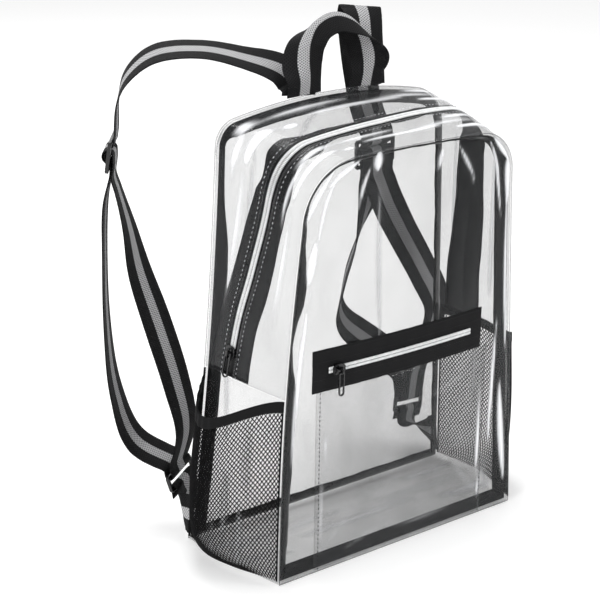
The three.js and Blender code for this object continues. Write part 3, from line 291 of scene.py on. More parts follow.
# Ribs across a tape or webbing: U runs across it from 0 to 1, V along it in metres. Shade is painted light
# and shade, lighter on the rib crests and darker between them, plus random grain
def make_ribs_group():
    group, inside, outside = new_group(
        "woven_ribs",
        [
            ("Coordinates", "NodeSocketVector", None),
            ("Ribs per metre", "NodeSocketFloat", 700.0),
            ("Strands across", "NodeSocketFloat", 24.0),
        ],
        [("Height", "NodeSocketFloat"), ("Shade", "NodeSocketFloat")],
    )
    parts = node(group, "ShaderNodeSeparateXYZ")
    group.links.new(inside.outputs["Coordinates"], parts.inputs[0])
    along = math_node(group, "MULTIPLY", parts.outputs["Y"], inside.outputs["Ribs per metre"])
    across = math_node(group, "MULTIPLY", parts.outputs["X"], inside.outputs["Strands across"])
    stagger = math_node(group, "MULTIPLY", math_node(group, "ROUND", across), 0.5)
    turns = math_node(group, "MULTIPLY", math_node(group, "ADD", along, stagger), math.tau)
    wave = math_node(group, "MULTIPLY", math_node(group, "SINE", turns), 0.4)
    strands = math_node(group, "SINE", math_node(group, "MULTIPLY", across, math.pi))
    strands = math_node(group, "MULTIPLY", math_node(group, "ABSOLUTE", strands), 0.4)
    height = math_node(group, "ADD", wave, strands)
    noise = node(group, "ShaderNodeTexNoise")
    noise.inputs["Scale"].default_value = 160
    noise.inputs["Detail"].default_value = 3
    group.links.new(inside.outputs["Coordinates"], noise.inputs["Vector"])
    group.links.new(height, outside.inputs["Height"])
    grain = math_node(group, "MULTIPLY", noise.outputs["Fac"], 0.5)
    shade = math_node(group, "ADD", height, grain, True)
    group.links.new(shade, outside.inputs["Shade"])
    return group


# Faint scuffs and dust, from object coordinates
def make_scuffs_group():
    group, inside, outside = new_group(
        "faint_scuffs",
        [("Scale", "NodeSocketFloat", 40.0), ("Stretch", "NodeSocketFloat", 1.0)],
        [("Mask", "NodeSocketFloat"), ("Height", "NodeSocketFloat")],
    )
    place = node(group, "ShaderNodeTexCoord")
    stretch = node(group, "ShaderNodeMapping")
    group.links.new(place.outputs["Object"], stretch.inputs["Vector"])
    sizes = node(group, "ShaderNodeCombineXYZ")
    sizes.inputs[0].default_value = 1
    sizes.inputs[1].default_value = 1
    group.links.new(inside.outputs["Stretch"], sizes.inputs[2])
    group.links.new(sizes.outputs[0], stretch.inputs["Scale"])
    noise = node(group, "ShaderNodeTexNoise")
    noise.inputs["Detail"].default_value = 4
    group.links.new(stretch.outputs[0], noise.inputs["Vector"])
    group.links.new(inside.outputs["Scale"], noise.inputs["Scale"])
    fine = node(group, "ShaderNodeTexNoise")
    fine.inputs["Scale"].default_value = 900
    group.links.new(stretch.outputs[0], fine.inputs["Vector"])
    raised = math_node(group, "SUBTRACT", noise.outputs["Fac"], 0.42, True)
    mask = math_node(group, "MULTIPLY", raised, 3.0, True)
    group.links.new(mask, outside.inputs["Mask"])
    group.links.new(fine.outputs["Fac"], outside.inputs["Height"])
    return group


RIBS = make_ribs_group()
SCUFFS = make_scuffs_group()


def new_material(name, color, roughness, **sockets):
    material = bpy.data.materials.new(name)
    material.use_nodes = True
    tree = material.node_tree
    shader = tree.nodes["Principled BSDF"]
    shader.inputs["Base Color"].default_value = (*color, 1)
    shader.inputs["Roughness"].default_value = roughness
    for label, value in sockets.items():
        shader.inputs[label.replace("_", " ")].default_value = value
    return material, tree, shader


def bump(tree, shader, height, strength, distance):
    made = node(tree, "ShaderNodeBump")
    made.inputs["Strength"].default_value = strength
    made.inputs["Distance"].default_value = distance
    tree.links.new(height, made.inputs["Height"])
    tree.links.new(made.outputs[0], shader.inputs["Normal"])


def use_group(tree, group, **values):
    made = node(tree, "ShaderNodeGroup", node_tree=group)
    for label, value in values.items():
        made.inputs[label.replace("_", " ")].default_value = value
    return made


def ramp_between(tree, factor, low, high):
    mix = node(tree, "ShaderNodeMix", data_type="RGBA")
    mix.inputs[6].default_value = (*low, 1)
    mix.inputs[7].default_value = (*high, 1)
    tree.links.new(factor, mix.inputs[0])
    return mix.outputs[2]


# Clear vinyl: haze, painted highlights along the folds, and more body at a glancing angle, lightened there
# as a painted reflection
def make_vinyl(name, haze, edge):
    material, tree, shader = new_material(name, (0.86, 0.88, 0.9), 0.06, IOR=1.5)
    scuffs = use_group(tree, SCUFFS, Scale=30.0, Stretch=0.5)
    # The fold attribute doubles as painted highlight: it raises alpha and turns the tint white along the
    # folds
    fold = node(tree, "ShaderNodeAttribute", attribute_name="fold")
    glance = node(tree, "ShaderNodeLayerWeight")
    glance.inputs["Blend"].default_value = 0.35
    body = math_node(tree, "MULTIPLY", glance.outputs["Facing"], edge)
    cloud = math_node(tree, "MULTIPLY", scuffs.outputs["Mask"], 0.03)
    veil = math_node(tree, "ADD", math_node(tree, "ADD", body, cloud), haze)
    alpha = math_node(tree, "ADD", veil, math_node(tree, "MULTIPLY", fold.outputs["Fac"], 0.85), True)
    tree.links.new(alpha, shader.inputs["Alpha"])
    # Painted highlight and reflection: the dark tint turns white on the folds and towards a glancing angle
    painted_rim_reflection = math_node(tree, "MULTIPLY", math_node(tree, "POWER", glance.outputs["Facing"], 3.0), 0.3)
    painted_glint_and_rim = math_node(tree, "ADD", math_node(tree, "MULTIPLY", fold.outputs["Fac"], 3.0), painted_rim_reflection, True)
    tint = ramp_between(tree, painted_glint_and_rim, (0.03, 0.032, 0.034), (0.97, 0.98, 1.0))
    tree.links.new(tint, shader.inputs["Base Color"])
    rough = math_node(tree, "ADD", math_node(tree, "MULTIPLY", scuffs.outputs["Mask"], 0.1), 0.05)
    tree.links.new(rough, shader.inputs["Roughness"])
    bump(tree, shader, scuffs.outputs["Mask"], 0.12, 0.001)
    return material


# Woven tape or webbing, with an optional grey stripe down the middle
def make_woven(name, dark, light, ribs, strands, roughness, depth, stripe=None, gloss=0.0):
    material, tree, shader = new_material(name, dark, roughness)
    shader.inputs["Specular IOR Level"].default_value = 0.15
    shader.inputs["Coat Weight"].default_value = gloss
    place = node(tree, "ShaderNodeUVMap", uv_map="UVMap")
    weave = use_group(tree, RIBS, Ribs_per_metre=ribs, Strands_across=strands)
    tree.links.new(place.outputs[0], weave.inputs["Coordinates"])
    # The colour follows Shade: painted light and shade on the ribs and strands
    color = ramp_between(tree, weave.outputs["Shade"], dark, light)
    if stripe:
        parts = node(tree, "ShaderNodeSeparateXYZ")
        tree.links.new(place.outputs[0], parts.inputs[0])
        off = math_node(tree, "ABSOLUTE", math_node(tree, "SUBTRACT", parts.outputs["X"], 0.5))
        inside = math_node(tree, "LESS_THAN", off, stripe["half"])
        grey = ramp_between(tree, weave.outputs["Shade"], stripe["dark"], stripe["light"])
        mix = node(tree, "ShaderNodeMix", data_type="RGBA")
        tree.links.new(inside, mix.inputs[0])
        tree.links.new(color, mix.inputs[6])
        tree.links.new(grey, mix.inputs[7])
        color = mix.outputs[2]
    tree.links.new(color, shader.inputs["Base Color"])
    bump(tree, shader, weave.outputs["Height"], 0.5, depth)
    return material


def make_solid(name, low, high, roughness, coat=0.0, gloss=0.3):
    material, tree, shader = new_material(name, low, roughness, Specular_IOR_Level=gloss)
    shader.inputs["Coat Weight"].default_value = coat
    scuffs = use_group(tree, SCUFFS, Scale=220.0, Stretch=1.0)
    tree.links.new(ramp_between(tree, scuffs.outputs["Mask"], low, high), shader.inputs["Base Color"])
    rough = math_node(tree, "ADD", math_node(tree, "MULTIPLY", scuffs.outputs["Mask"], 0.18), roughness)
    tree.links.new(rough, shader.inputs["Roughness"])
    bump(tree, shader, scuffs.outputs["Height"], 0.15, 0.0001)
    return material


CLEAR = make_vinyl("clear_vinyl", 0.088, 0.22)
CLEAR_BASE = make_vinyl("clear_vinyl_base", 0.055, 0.08)
CLEAR_ROLL = make_vinyl("clear_vinyl_edge", 0.2, 0.45)
BINDING = make_woven(
    "binding_tape", (0.0012, 0.0012, 0.0014), (0.006, 0.006, 0.007),
    900.0, 8.0, 0.3, 0.0002, gloss=0.12,
)
TAPE = make_woven(
    "zip_tape", (0.001, 0.001, 0.0012), (0.006, 0.006, 0.007),
    1100.0, 20.0, 0.3, 0.00015, gloss=0.15,
)
POCKET_TAPE = make_woven(
    "pocket_zip_tape", (0.002, 0.002, 0.0022), (0.014, 0.014, 0.015),
    1300.0, 26.0, 0.8, 0.0003,
)
ELASTIC = make_woven(
    "elastic_band", (0.002, 0.002, 0.002), (0.012, 0.012, 0.013),
    1000.0, 7.0, 0.8, 0.0004,
)
STRIPE = {"half": 0.15, "dark": (0.06, 0.06, 0.062), "light": (0.66, 0.66, 0.67)}
WEBBING = make_woven(
    "webbing", (0.0015, 0.0015, 0.0018), (0.016, 0.016, 0.017),
    420.0, 22.0, 0.8, 0.0006, stripe=STRIPE,
)
NET = make_solid("net_thread", (0.002, 0.002, 0.0022), (0.01, 0.01, 0.011), 0.7, gloss=0.1)
THREAD = make_solid("stitch_thread", (0.006, 0.006, 0.007), (0.03, 0.03, 0.032), 0.6)
# Pale stitch thread: painted glints on the dark stitches of the main zip
PAINTED_GLINT_THREAD = make_solid("stitch_thread_shine", (0.35, 0.35, 0.37), (0.75, 0.75, 0.78), 0.4)
COIL = make_solid("zip_coil", (0.78, 0.79, 0.79), (0.92, 0.93, 0.93), 0.28)
METAL = make_solid("black_enamel", (0.003, 0.003, 0.0035), (0.012, 0.012, 0.013), 0.2, coat=0.4)
PLASTIC = make_solid("black_plastic", (0.0025, 0.0025, 0.003), (0.01, 0.01, 0.011), 0.22, coat=0.4)


# Meshes in metres from points in millimetres
def add_mesh(name, points, faces, material, uvs=None, folds_and_highlights=None, shade_smooth=True):
    mesh = bpy.data.meshes.new(name)
    mesh.from_pydata([tuple(float(c) * MM for c in p) for p in points], [], faces)
    if uvs is not None:
        layer = mesh.uv_layers.new(name="UVMap")
        for loop in mesh.loops:
            layer.data[loop.index].uv = uvs[loop.vertex_index]
    # The fold attribute carries the painted highlight for the vinyl
    if folds_and_highlights is not None:
        attribute = mesh.attributes.new("fold", "FLOAT", "POINT")
        attribute.data.foreach_set("value", [float(f) for f in folds_and_highlights])
    mesh.materials.append(material)
    mesh.polygons.foreach_set("use_smooth", [shade_smooth] * len(mesh.polygons))
    mesh.update()
    obj = bpy.data.objects.new(name, mesh)
    bpy.context.collection.objects.link(obj)
    return obj


def keep(obj, body, slot, *nodes):
    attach(obj, body)
    if nodes:
        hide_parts(*nodes)
    return obj


# Turns faces round if the closed shape they make is inside out
def outward(points, faces):
    volume = 0.0
    for face in faces:
        a = points[face[0]]
        for j in range(1, len(face) - 1):
            volume += float(np.dot(a, np.cross(points[face[j]], points[face[j + 1]])))
    return faces if volume >= 0 else [tuple(reversed(face)) for face in faces]


# Closed thin wall from an outer point, an inner point and a fold mask for each u and v; the fold mask
# becomes the fold attribute, which the vinyl paints as highlight
def wall(name, count_u, count_v, outer, inner, material, fold=None, uv=None):
    points, folds_and_highlights, uvs = [], [], []
    for layer in (outer, inner):
        for i in range(count_u + 1):
            for j in range(count_v + 1):
                u, v = i / count_u, j / count_v
                points.append(layer(u, v))
                folds_and_highlights.append(fold(u, v) if fold else 0)
                uvs.append(uv(u, v) if uv else (u, v))
    size = (count_u + 1) * (count_v + 1)
    at = lambda i, j, layer: layer * size + i * (count_v + 1) + j
    faces = []
    for i in range(count_u):
        for j in range(count_v):
            faces.append((at(i, j, 0), at(i + 1, j, 0), at(i + 1, j + 1, 0), at(i, j + 1, 0)))
            faces.append((at(i, j, 1), at(i, j + 1, 1), at(i + 1, j + 1, 1), at(i + 1, j, 1)))
    for i in range(count_u):
        faces.append((at(i, 0, 0), at(i, 0, 1), at(i + 1, 0, 1), at(i + 1, 0, 0)))
        faces.append((at(i, count_v, 0), at(i + 1, count_v, 0), at(i + 1, count_v, 1), at(i, count_v, 1)))
    for j in range(count_v):
        faces.append((at(0, j, 0), at(0, j + 1, 0), at(0, j + 1, 1), at(0, j, 1)))
        faces.append((at(count_u, j, 0), at(count_u, j, 1), at(count_u, j + 1, 1), at(count_u, j + 1, 0)))
    return add_mesh(name, points, outward(points, faces), material, uvs, folds_and_highlights if fold else None)


# Folds of the vinyl, which also place its painted highlights: centre across and up, reach, angle, width and
# strength, all in shares of the panel
FRONT_FOLDS_AND_HIGHLIGHTS = [
    (0.055, 0.90, 0.18, 66, 0.016, 1.0), (0.10, 0.84, 0.26, 76, 0.008, 0.5),
    (0.15, 0.94, 0.14, 34, 0.012, 0.9),
    (0.93, 0.92, 0.14, 124, 0.016, 1.0), (0.89, 0.82, 0.28, 104, 0.008, 0.6),
    (0.965, 0.55, 0.40, 92, 0.007, 0.7),
    (0.045, 0.45, 0.4, 86, 0.007, 0.6), (0.90, 0.30, 0.3, 84, 0.007, 0.6),
    (0.31, 0.955, 0.10, 100, 0.016, 0.9),
    (0.955, 0.18, 0.25, 98, 0.012, 0.9), (0.26, 0.86, 0.16, 78, 0.008, 0.5),
    (0.74, 0.86, 0.2, 112, 0.008, 0.4),
    (0.965, 0.80, 0.16, 90, 0.014, 0.9), (0.62, 0.90, 0.12, 80, 0.008, 0.5),
    (0.06, 0.70, 0.10, 84, 0.014, 0.8),
]
BACK_FOLDS_AND_HIGHLIGHTS = [
    (0.05, 0.9, 0.25, 68, 0.010, 0.6), (0.95, 0.9, 0.25, 112, 0.010, 0.6), (0.2, 0.6, 0.4, 82, 0.008, 0.4),
    (0.7, 0.5, 0.4, 96, 0.008, 0.35), (0.4, 0.8, 0.3, 60, 0.008, 0.3), (0.12, 0.35, 0.3, 92, 0.008, 0.4),
]
SIDE_FOLDS_AND_HIGHLIGHTS = [
    (0.275, 0.45, 0.16, 24, 0.045, 1.0), (0.30, 0.75, 0.12, 8, 0.05, 0.7),
    (0.22, 0.62, 0.14, 172, 0.04, 0.7),
    (0.355, 0.35, 0.06, 70, 0.010, 0.9), (0.70, 0.35, 0.16, 168, 0.045, 0.8),
    (0.62, 0.6, 0.2, 6, 0.04, 0.5),
    (0.50, 0.5, 0.2, 2, 0.04, 0.5), (0.42, 0.7, 0.16, 4, 0.05, 0.4), (0.66, 0.8, 0.10, 170, 0.04, 0.6),
    (0.12, 0.4, 0.16, 4, 0.04, 0.5), (0.90, 0.5, 0.14, 176, 0.04, 0.5),
]


# Relief of the folds, and the strength of the painted highlight along them
def fold_and_highlight_mask(folds_and_highlights, u, v):
    total = 0.0
    for centre_u, centre_v, reach, angle, width, strength in folds_and_highlights:
        c, s = math.cos(math.radians(angle)), math.sin(math.radians(angle))
        du, dv = u - centre_u, v - centre_v
        along, off = du * c + dv * s, -du * s + dv * c
        off += 0.06 * along * along / reach
        fade = max(0.0, 1 - (along / (reach / 2)) ** 2)
        taper = width * (0.25 + 0.75 * fade)
        total += strength * math.sqrt(fade) * math.exp(-(off / taper) ** 2)
    return min(1.0, total)


def undulation(u, v, seed):
    return (
        math.sin(5.1 * u + 2.3 * v + seed)
        + 0.6 * math.sin(3.7 * v - 7.9 * u + 2 * seed)
        + 0.35 * math.sin(13.0 * u + 9.0 * v + 3 * seed)
    ) / 1.95


# Large panels
FOLD_HEIGHT = 1.1
WAVE_HEIGHT = 0.9


def panel_sheet(face, name, folds_and_highlights, node_name):
    middle = 2.5
    base = lambda p: lerp(seam(face, 0), seam(face, STATIONS_END), p)
    top = lambda p: seam(face, lerp(middle, STATIONS_END - middle, p))
    left = lambda q: seam(face, q * middle)
    right = lambda q: seam(face, STATIONS_END - q * middle)
    corners = [base(0), base(1), top(0), top(1)]
    way = -1 if face == "front" else 1

    def patch(p, q, sunk):
        point = base(p) * (1 - q) + top(p) * q + left(q) * (1 - p) + right(q) * p
        point -= corners[0] * (1 - p) * (1 - q) + corners[1] * p * (1 - q)
        point -= corners[2] * (1 - p) * q + corners[3] * p * q
        edge = min(p, 1 - p, q, 1 - q)
        ease = smooth(edge / 0.06)
        swell = panel_swell(face, point[0], point[2]) * ease
        relief = FOLD_HEIGHT * fold_and_highlight_mask(folds_and_highlights, p, q) + WAVE_HEIGHT * undulation(p, q, len(folds_and_highlights))
        point[1] = plane_depth(face, point[2]) + way * (swell + relief * ease - sunk)
        return point

    obj = wall(
        name, 110, 130, lambda u, v: patch(u, v, 0), lambda u, v: patch(u, v, SHEET), CLEAR,
        fold=lambda u, v: fold_and_highlight_mask(folds_and_highlights, u, v),
    )
    keep(obj, BODY, "clear_vinyl", node_name)


def side_strip(name, start, end, edges, sunk, count_u, count_v, node_name):
    def at(u, v, more):
        station = lerp(start, end, u)
        depth = gusset_depth(station)
        near, far = edges(station, depth)
        back = lerp(near, far, v) / depth
        ease = smooth(min(v, 1 - v) / 0.15) * smooth(min(u, 1 - u) / 0.03)
        relief = 0.7 * fold_and_highlight_mask(SIDE_FOLDS_AND_HIGHLIGHTS, u, v) + 0.5 * undulation(u * 3, v, 1.3)
        return gusset(station, back, sunk + more - relief * ease)

    obj = wall(
        name, count_u, count_v, lambda u, v: at(u, v, 0), lambda u, v: at(u, v, SHEET), CLEAR,
        fold=lambda u, v: fold_and_highlight_mask(SIDE_FOLDS_AND_HIGHLIGHTS, u, v) * smooth(min(v, 1 - v) / 0.1),
    )
    keep(obj, BODY, "clear_vinyl", node_name)


# Lower gusset: up one side, under the base and up the other side
def lower_gusset():
    def row_at(u, v, sunk):
        y = lerp(-BASE_DEPTH / 2 + PANEL_ROOM, BASE_DEPTH / 2 - PANEL_ROOM, v)
        width = lerp(FRONT_BASE_WIDTH, BACK_BASE_WIDTH, y / BASE_DEPTH + 0.5)
        left_end, right_end = 0.3, 0.7
        if left_end < u < right_end:
            share = (u - left_end) / (right_end - left_end)
            return np.array([(share - 0.5) * (width - 2 * sunk), y, sunk])
        q = (left_end - u) / left_end if u <= left_end else (u - right_end) / (1 - right_end)
        station = q * 0.998 if u <= left_end else STATIONS_END - q * 0.998
        depth = gusset_depth(station)
        back = lerp(PANEL_ROOM, depth - PANEL_ROOM, v) / depth
        point = gusset(station, back, 0)
        point[0] += sunk if u <= left_end else -sunk
        point[2] = max(point[2], sunk)
        return point

    obj = wall(
        "lower_gusset_sheet", 80, 16,
        lambda u, v: row_at(u, v, 0), lambda u, v: row_at(u, v, SHEET), CLEAR_BASE,
        # Painted highlight streaks only; this sheet has no matching fold relief
        fold=lambda u, v: fold_and_highlight_mask(SIDE_FOLDS_AND_HIGHLIGHTS, u, v) * 0.6,
    )
    keep(obj, BODY, "clear_vinyl", "lower_gusset")


# Round rod along a path, closed at its ends or joined into a ring
def rod(name, path, radius, material, ring=False, sides=8):
    points, faces = [], []
    count = len(path)
    for i, point in enumerate(path):
        before = path[(i - 1) % count] if ring else path[max(0, i - 1)]
        after = path[(i + 1) % count] if ring else path[min(count - 1, i + 1)]
        along = unit(after - before)
        first = unit(np.cross(along, [0.123, 1, 0.05]))
        second = np.cross(along, first)
        for k in range(sides):
            angle = math.tau * k / sides
            points.append(point + radius * (math.cos(angle) * first + math.sin(angle) * second))
    for i in range(count if ring else count - 1):
        for k in range(sides):
            a, b = i * sides + k, i * sides + (k + 1) % sides
            c, d = ((i + 1) % count) * sides + (k + 1) % sides, ((i + 1) % count) * sides + k
            faces.append((a, b, c, d))
    if not ring:
        faces.append(tuple(reversed(range(sides))))
        faces.append(tuple(range((count - 1) * sides, count * sides)))
    # A small even fold value on every rod: a faint painted highlight on the clear vinyl edges; the net hem
    # material does not read it
    return add_mesh(name, points, outward(points, faces), material, folds_and_highlights=[0.02] * len(points))


def seam_ring(face):
    marks = [seam(face, s) for s in np.linspace(0, STATIONS_END, 161)]
    base = [lerp(marks[-1], marks[0], t) for t in np.linspace(0, 1, 40)[1:-1]]
    return marks, base


# Rolled edge where the sheets are sewn together
def seam_roll(face):
    marks, base = seam_ring(face)
    way = -1 if face == "front" else 1
    path = [p + np.array([0, way * 0.2, 0.6 if p[2] < 0.6 else 0]) for p in marks + base]
    keep(rod(f"{face}_seam_edge", path, 0.6, CLEAR_ROLL, ring=True), BODY, "clear_vinyl")


# Binding tape folded over the seam allowance, with rounded edges
def binding_tape(face, lies):
    marks, base = seam_ring(face)
    stations = list(np.linspace(0, STATIONS_END, 161)) + [STATIONS_END] * 19 + [0] * 19
    path = marks + base
    way = 1 if face == "front" else -1
    inset = VINYL + 2 * GAP + 0.8
    profile = [(0, -0.5), (0.3, -0.8), (0.7, -0.8), (1, -0.5), (1, 0.5), (0.7, 0.8), (0.3, 0.8), (0, 0.5)]
    points, faces, uvs = [], [], []
    length = 0.0
    count = len(path)
    flat = lambda v: np.array([v[0], v[2]])
    for i, point in enumerate(path):
        before, after = path[i - 1], path[(i + 1) % count]
        a, b = unit(flat(point - before)), unit(flat(after - point))
        a, b = np.array([a[1], -a[0]]), np.array([b[1], -b[0]])
        miter = (a + b) / (1 + float(np.dot(a, b)))
        lie = math.radians(follow(lies, stations[i], 1))
        width = BINDING_WIDTH * follow(lies, stations[i], 2)
        ripple = 0.35 * math.sin(length * 0.11) + 0.25 * math.sin(length * 0.29 + 1)
        for share, out in profile:
            along, off = share * width, out + ripple * share
            inward = inset + along * math.cos(lie) - off * math.sin(lie)
            deep = inset + along * math.sin(lie) + off * math.cos(lie)
            points.append(point + np.array([miter[0] * inward, way * deep, miter[1] * inward]))
            uvs.append((share, length * MM))
        length += np.linalg.norm(after - point)
    sides = len(profile)
    for i in range(count):
        for k in range(sides):
            a, b = i * sides + k, i * sides + (k + 1) % sides
            c, d = ((i + 1) % count) * sides + (k + 1) % sides, ((i + 1) % count) * sides + k
            faces.append((a, b, c, d))
    obj = add_mesh(f"{face}_binding_tape", points, outward(points, faces), BINDING, uvs)
    keep(obj, BODY, "binding_tape", f"{face}_binding")


# Beads along a path: coil teeth and stitches. Path points carry the way out of the surface
def make_bead_tree():
    tree = bpy.data.node_groups.new("beads_along_path", "GeometryNodeTree")
    tree.interface.new_socket("Geometry", in_out="INPUT", socket_type="NodeSocketGeometry")
    pitch = tree.interface.new_socket("Pitch", in_out="INPUT", socket_type="NodeSocketFloat")
    size = tree.interface.new_socket("Bead Size", in_out="INPUT", socket_type="NodeSocketVector")
    finish = tree.interface.new_socket("Material", in_out="INPUT", socket_type="NodeSocketMaterial")
    tree.interface.new_socket("Geometry", in_out="OUTPUT", socket_type="NodeSocketGeometry")
    inside, outside = node(tree, "NodeGroupInput"), node(tree, "NodeGroupOutput")
    curve = node(tree, "GeometryNodeMeshToCurve")
    spaced = node(tree, "GeometryNodeResampleCurve")
    if hasattr(spaced, "mode"):
        spaced.mode = "LENGTH"
    tangent = node(tree, "GeometryNodeInputTangent")
    out_way = node(tree, "GeometryNodeInputNamedAttribute", data_type="FLOAT_VECTOR")
    out_way.inputs["Name"].default_value = "out_way"
    turn_along = node(tree, "FunctionNodeAlignRotationToVector", axis="X")
    turn_out = node(tree, "FunctionNodeAlignRotationToVector", axis="Z", pivot_axis="X")
    bead = node(tree, "GeometryNodeMeshUVSphere")
    bead.inputs["Segments"].default_value = 8
    bead.inputs["Rings"].default_value = 5
    bead.inputs["Radius"].default_value = 0.5
    instance = node(tree, "GeometryNodeInstanceOnPoints")
    real = node(tree, "GeometryNodeRealizeInstances")
    paint = node(tree, "GeometryNodeSetMaterial")
    link = tree.links.new
    link(inside.outputs["Geometry"], curve.inputs["Mesh"])
    link(curve.outputs[0], spaced.inputs["Curve"])
    link(inside.outputs["Pitch"], spaced.inputs["Length"])
    link(spaced.outputs[0], instance.inputs["Points"])
    link(bead.outputs["Mesh"], instance.inputs["Instance"])
    link(tangent.outputs[0], turn_along.inputs["Vector"])
    link(turn_along.outputs[0], turn_out.inputs["Rotation"])
    link(out_way.outputs["Attribute"], turn_out.inputs["Vector"])
    link(turn_out.outputs[0], instance.inputs["Rotation"])
    link(inside.outputs["Bead Size"], instance.inputs["Scale"])
    link(instance.outputs[0], real.inputs[0])
    link(real.outputs[0], paint.inputs["Geometry"])
    link(inside.outputs["Material"], paint.inputs["Material"])
    link(paint.outputs[0], outside.inputs[0])
    return tree, {"pitch": pitch.identifier, "size": size.identifier, "material": finish.identifier}


# Net threads along the edges of a mesh
def make_thread_tree():
    tree = bpy.data.node_groups.new("threads_on_edges", "GeometryNodeTree")
    tree.interface.new_socket("Geometry", in_out="INPUT", socket_type="NodeSocketGeometry")
    radius = tree.interface.new_socket("Thread Radius", in_out="INPUT", socket_type="NodeSocketFloat")
    finish = tree.interface.new_socket("Material", in_out="INPUT", socket_type="NodeSocketMaterial")
    tree.interface.new_socket("Geometry", in_out="OUTPUT", socket_type="NodeSocketGeometry")
    inside, outside = node(tree, "NodeGroupInput"), node(tree, "NodeGroupOutput")
    curve = node(tree, "GeometryNodeMeshToCurve")
    profile = node(tree, "GeometryNodeCurvePrimitiveCircle", mode="RADIUS")
    profile.inputs["Resolution"].default_value = 4
    swept = node(tree, "GeometryNodeCurveToMesh")
    swept.inputs["Fill Caps"].default_value = True
    real = node(tree, "GeometryNodeRealizeInstances")
    paint = node(tree, "GeometryNodeSetMaterial")
    link = tree.links.new
    link(inside.outputs["Geometry"], curve.inputs["Mesh"])
    link(inside.outputs["Thread Radius"], profile.inputs["Radius"])
    link(curve.outputs[0], swept.inputs["Curve"])
    link(profile.outputs[0], swept.inputs["Profile Curve"])
    link(swept.outputs[0], real.inputs[0])
    link(real.outputs[0], paint.inputs["Geometry"])
    link(inside.outputs["Material"], paint.inputs["Material"])
    link(paint.outputs[0], outside.inputs[0])
    return tree, {"radius": radius.identifier, "material": finish.identifier}


BEADS, BEAD_INPUTS = make_bead_tree()
THREADS, THREAD_INPUTS = make_thread_tree()


# Plain mesh from what a node tree makes of some points and edges
def grown(name, points, edges, tree, inputs, values, out_ways=None):
    mesh = bpy.data.meshes.new(name + "_path")
    mesh.from_pydata([tuple(float(c) * MM for c in p) for p in points], edges, [])
    if out_ways is not None:
        attribute = mesh.attributes.new("out_way", "FLOAT_VECTOR", "POINT")
        attribute.data.foreach_set("vector", [float(c) for way in out_ways for c in way])
    obj = bpy.data.objects.new(name, mesh)
    bpy.context.collection.objects.link(obj)
    modifier = obj.modifiers.new("grow", "NODES")
    modifier.node_group = tree
    for key, value in values.items():
        modifier[inputs[key]] = value
    graph = bpy.context.evaluated_depsgraph_get()
    result = bpy.data.meshes.new_from_object(obj.evaluated_get(graph))
    obj.modifiers.remove(modifier)
    old = obj.data
    obj.data = result
    bpy.data.meshes.remove(old)
    result.name = name
    result.polygons.foreach_set("use_smooth", [True] * len(result.polygons))
    return obj


def beads(name, path, out_ways, pitch, size, material):
    edges = [(i, i + 1) for i in range(len(path) - 1)]
    values = {"pitch": pitch * MM, "size": [s * MM for s in size], "material": material}
    return grown(name, path, edges, BEADS, BEAD_INPUTS, values, out_ways)


# Path on the side gusset between two stations, at some millimetres from the zip's middle
def zip_path(start, end, off, sunk, steps):
    path, ways = [], []
    for station in np.linspace(start, end, steps):
        depth = gusset_depth(station)
        back = zip_share(station) + off / depth
        point, along, deep, out = gusset_frame(station, back)
        path.append(gusset(station, back, sunk))
        ways.append(out)
    return path, ways


# Zip tape: station, millimetres of tape seen before the coil and behind it
TAPE_REACH = [
    (1.0, 25, 25), (1.5, 22, 24), (1.9, 21, 19), (2.3, 19, 15), (2.6, 15, 19), (2.9, 17, 21), (3.1, 10, 13),
    (3.5, 6, 12), (4.0, 5.5, 10), (5.0, 6, 10), (5.4, 12, 14), (6.0, 19, 18), (7.0, 25, 25),
]


def main_zip():
    def edges(station, depth):
        middle = zip_share(station) * depth
        wave = 1.2 * math.sin(station * 9 + 0.5)
        before, behind = follow(TAPE_REACH, station, 1), follow(TAPE_REACH, station, 2)
        reach = ZIP_TAPE_WIDTH / 2
        return middle - min(reach, before + wave), middle + min(reach, behind - wave)

    def at(u, v, more):
        station = lerp(1.002, 6.998, u)
        depth = gusset_depth(station)
        near, far = edges(station, depth)
        ridge = 0.5 * math.exp(-((v - 0.5) / 0.13) ** 2)
        ripple = 0.2 * math.sin(u * 150) * smooth(abs(v - 0.5) * 3)
        return gusset(station, lerp(near, far, v) / depth, TAPE_SUNK + 0.3 + more - ridge - ripple)

    lengths = 0.64
    obj = wall(
        "main_zip_cloth", 240, 12, lambda u, v: at(u, v, 0), lambda u, v: at(u, v, 0.7), TAPE,
        uv=lambda u, v: (v, u * lengths),
    )
    keep(obj, BODY, "zip_tape", "main_zip_tape")
    rows = []
    for name, off in (("left", -COIL_WIDTH / 4), ("right", COIL_WIDTH / 4)):
        path, ways = zip_path(1.12, 6.9, off, TAPE_SUNK - 1.0, 400)
        size = (COIL_PITCH * 0.82, COIL_WIDTH / 2 * 1.1, 2.0)
        obj = beads(f"main_coil_{name}", path, ways, COIL_PITCH, size, COIL)
        rows.append(obj)
    keep(rows[0], BODY, "zip_teeth", "main_zip_teeth")
    keep(rows[1], BODY, "zip_teeth")
    for name, off in (("front", -ZIP_SLOT_WIDTH / 2 - 3.5), ("back", ZIP_SLOT_WIDTH / 2 + 3.5)):
        path, ways = zip_path(1.01, 6.99, off, -0.15, 300)
        # Pale stitches: painted glints along the zip tape
        obj = beads(f"main_stitches_{name}", path, ways, 4.6, (2.3, 0.75, 0.5), PAINTED_GLINT_THREAD)
        keep(obj, BODY, "binding_tape")
    for name, off in (("front", -ZIP_SLOT_WIDTH / 2), ("back", ZIP_SLOT_WIDTH / 2)):
        path, _ = zip_path(1.004, 6.996, off, 0.35, 240)
        keep(rod(f"main_slot_edge_{name}", path, 0.42, CLEAR_ROLL, sides=6), BODY, "clear_vinyl")


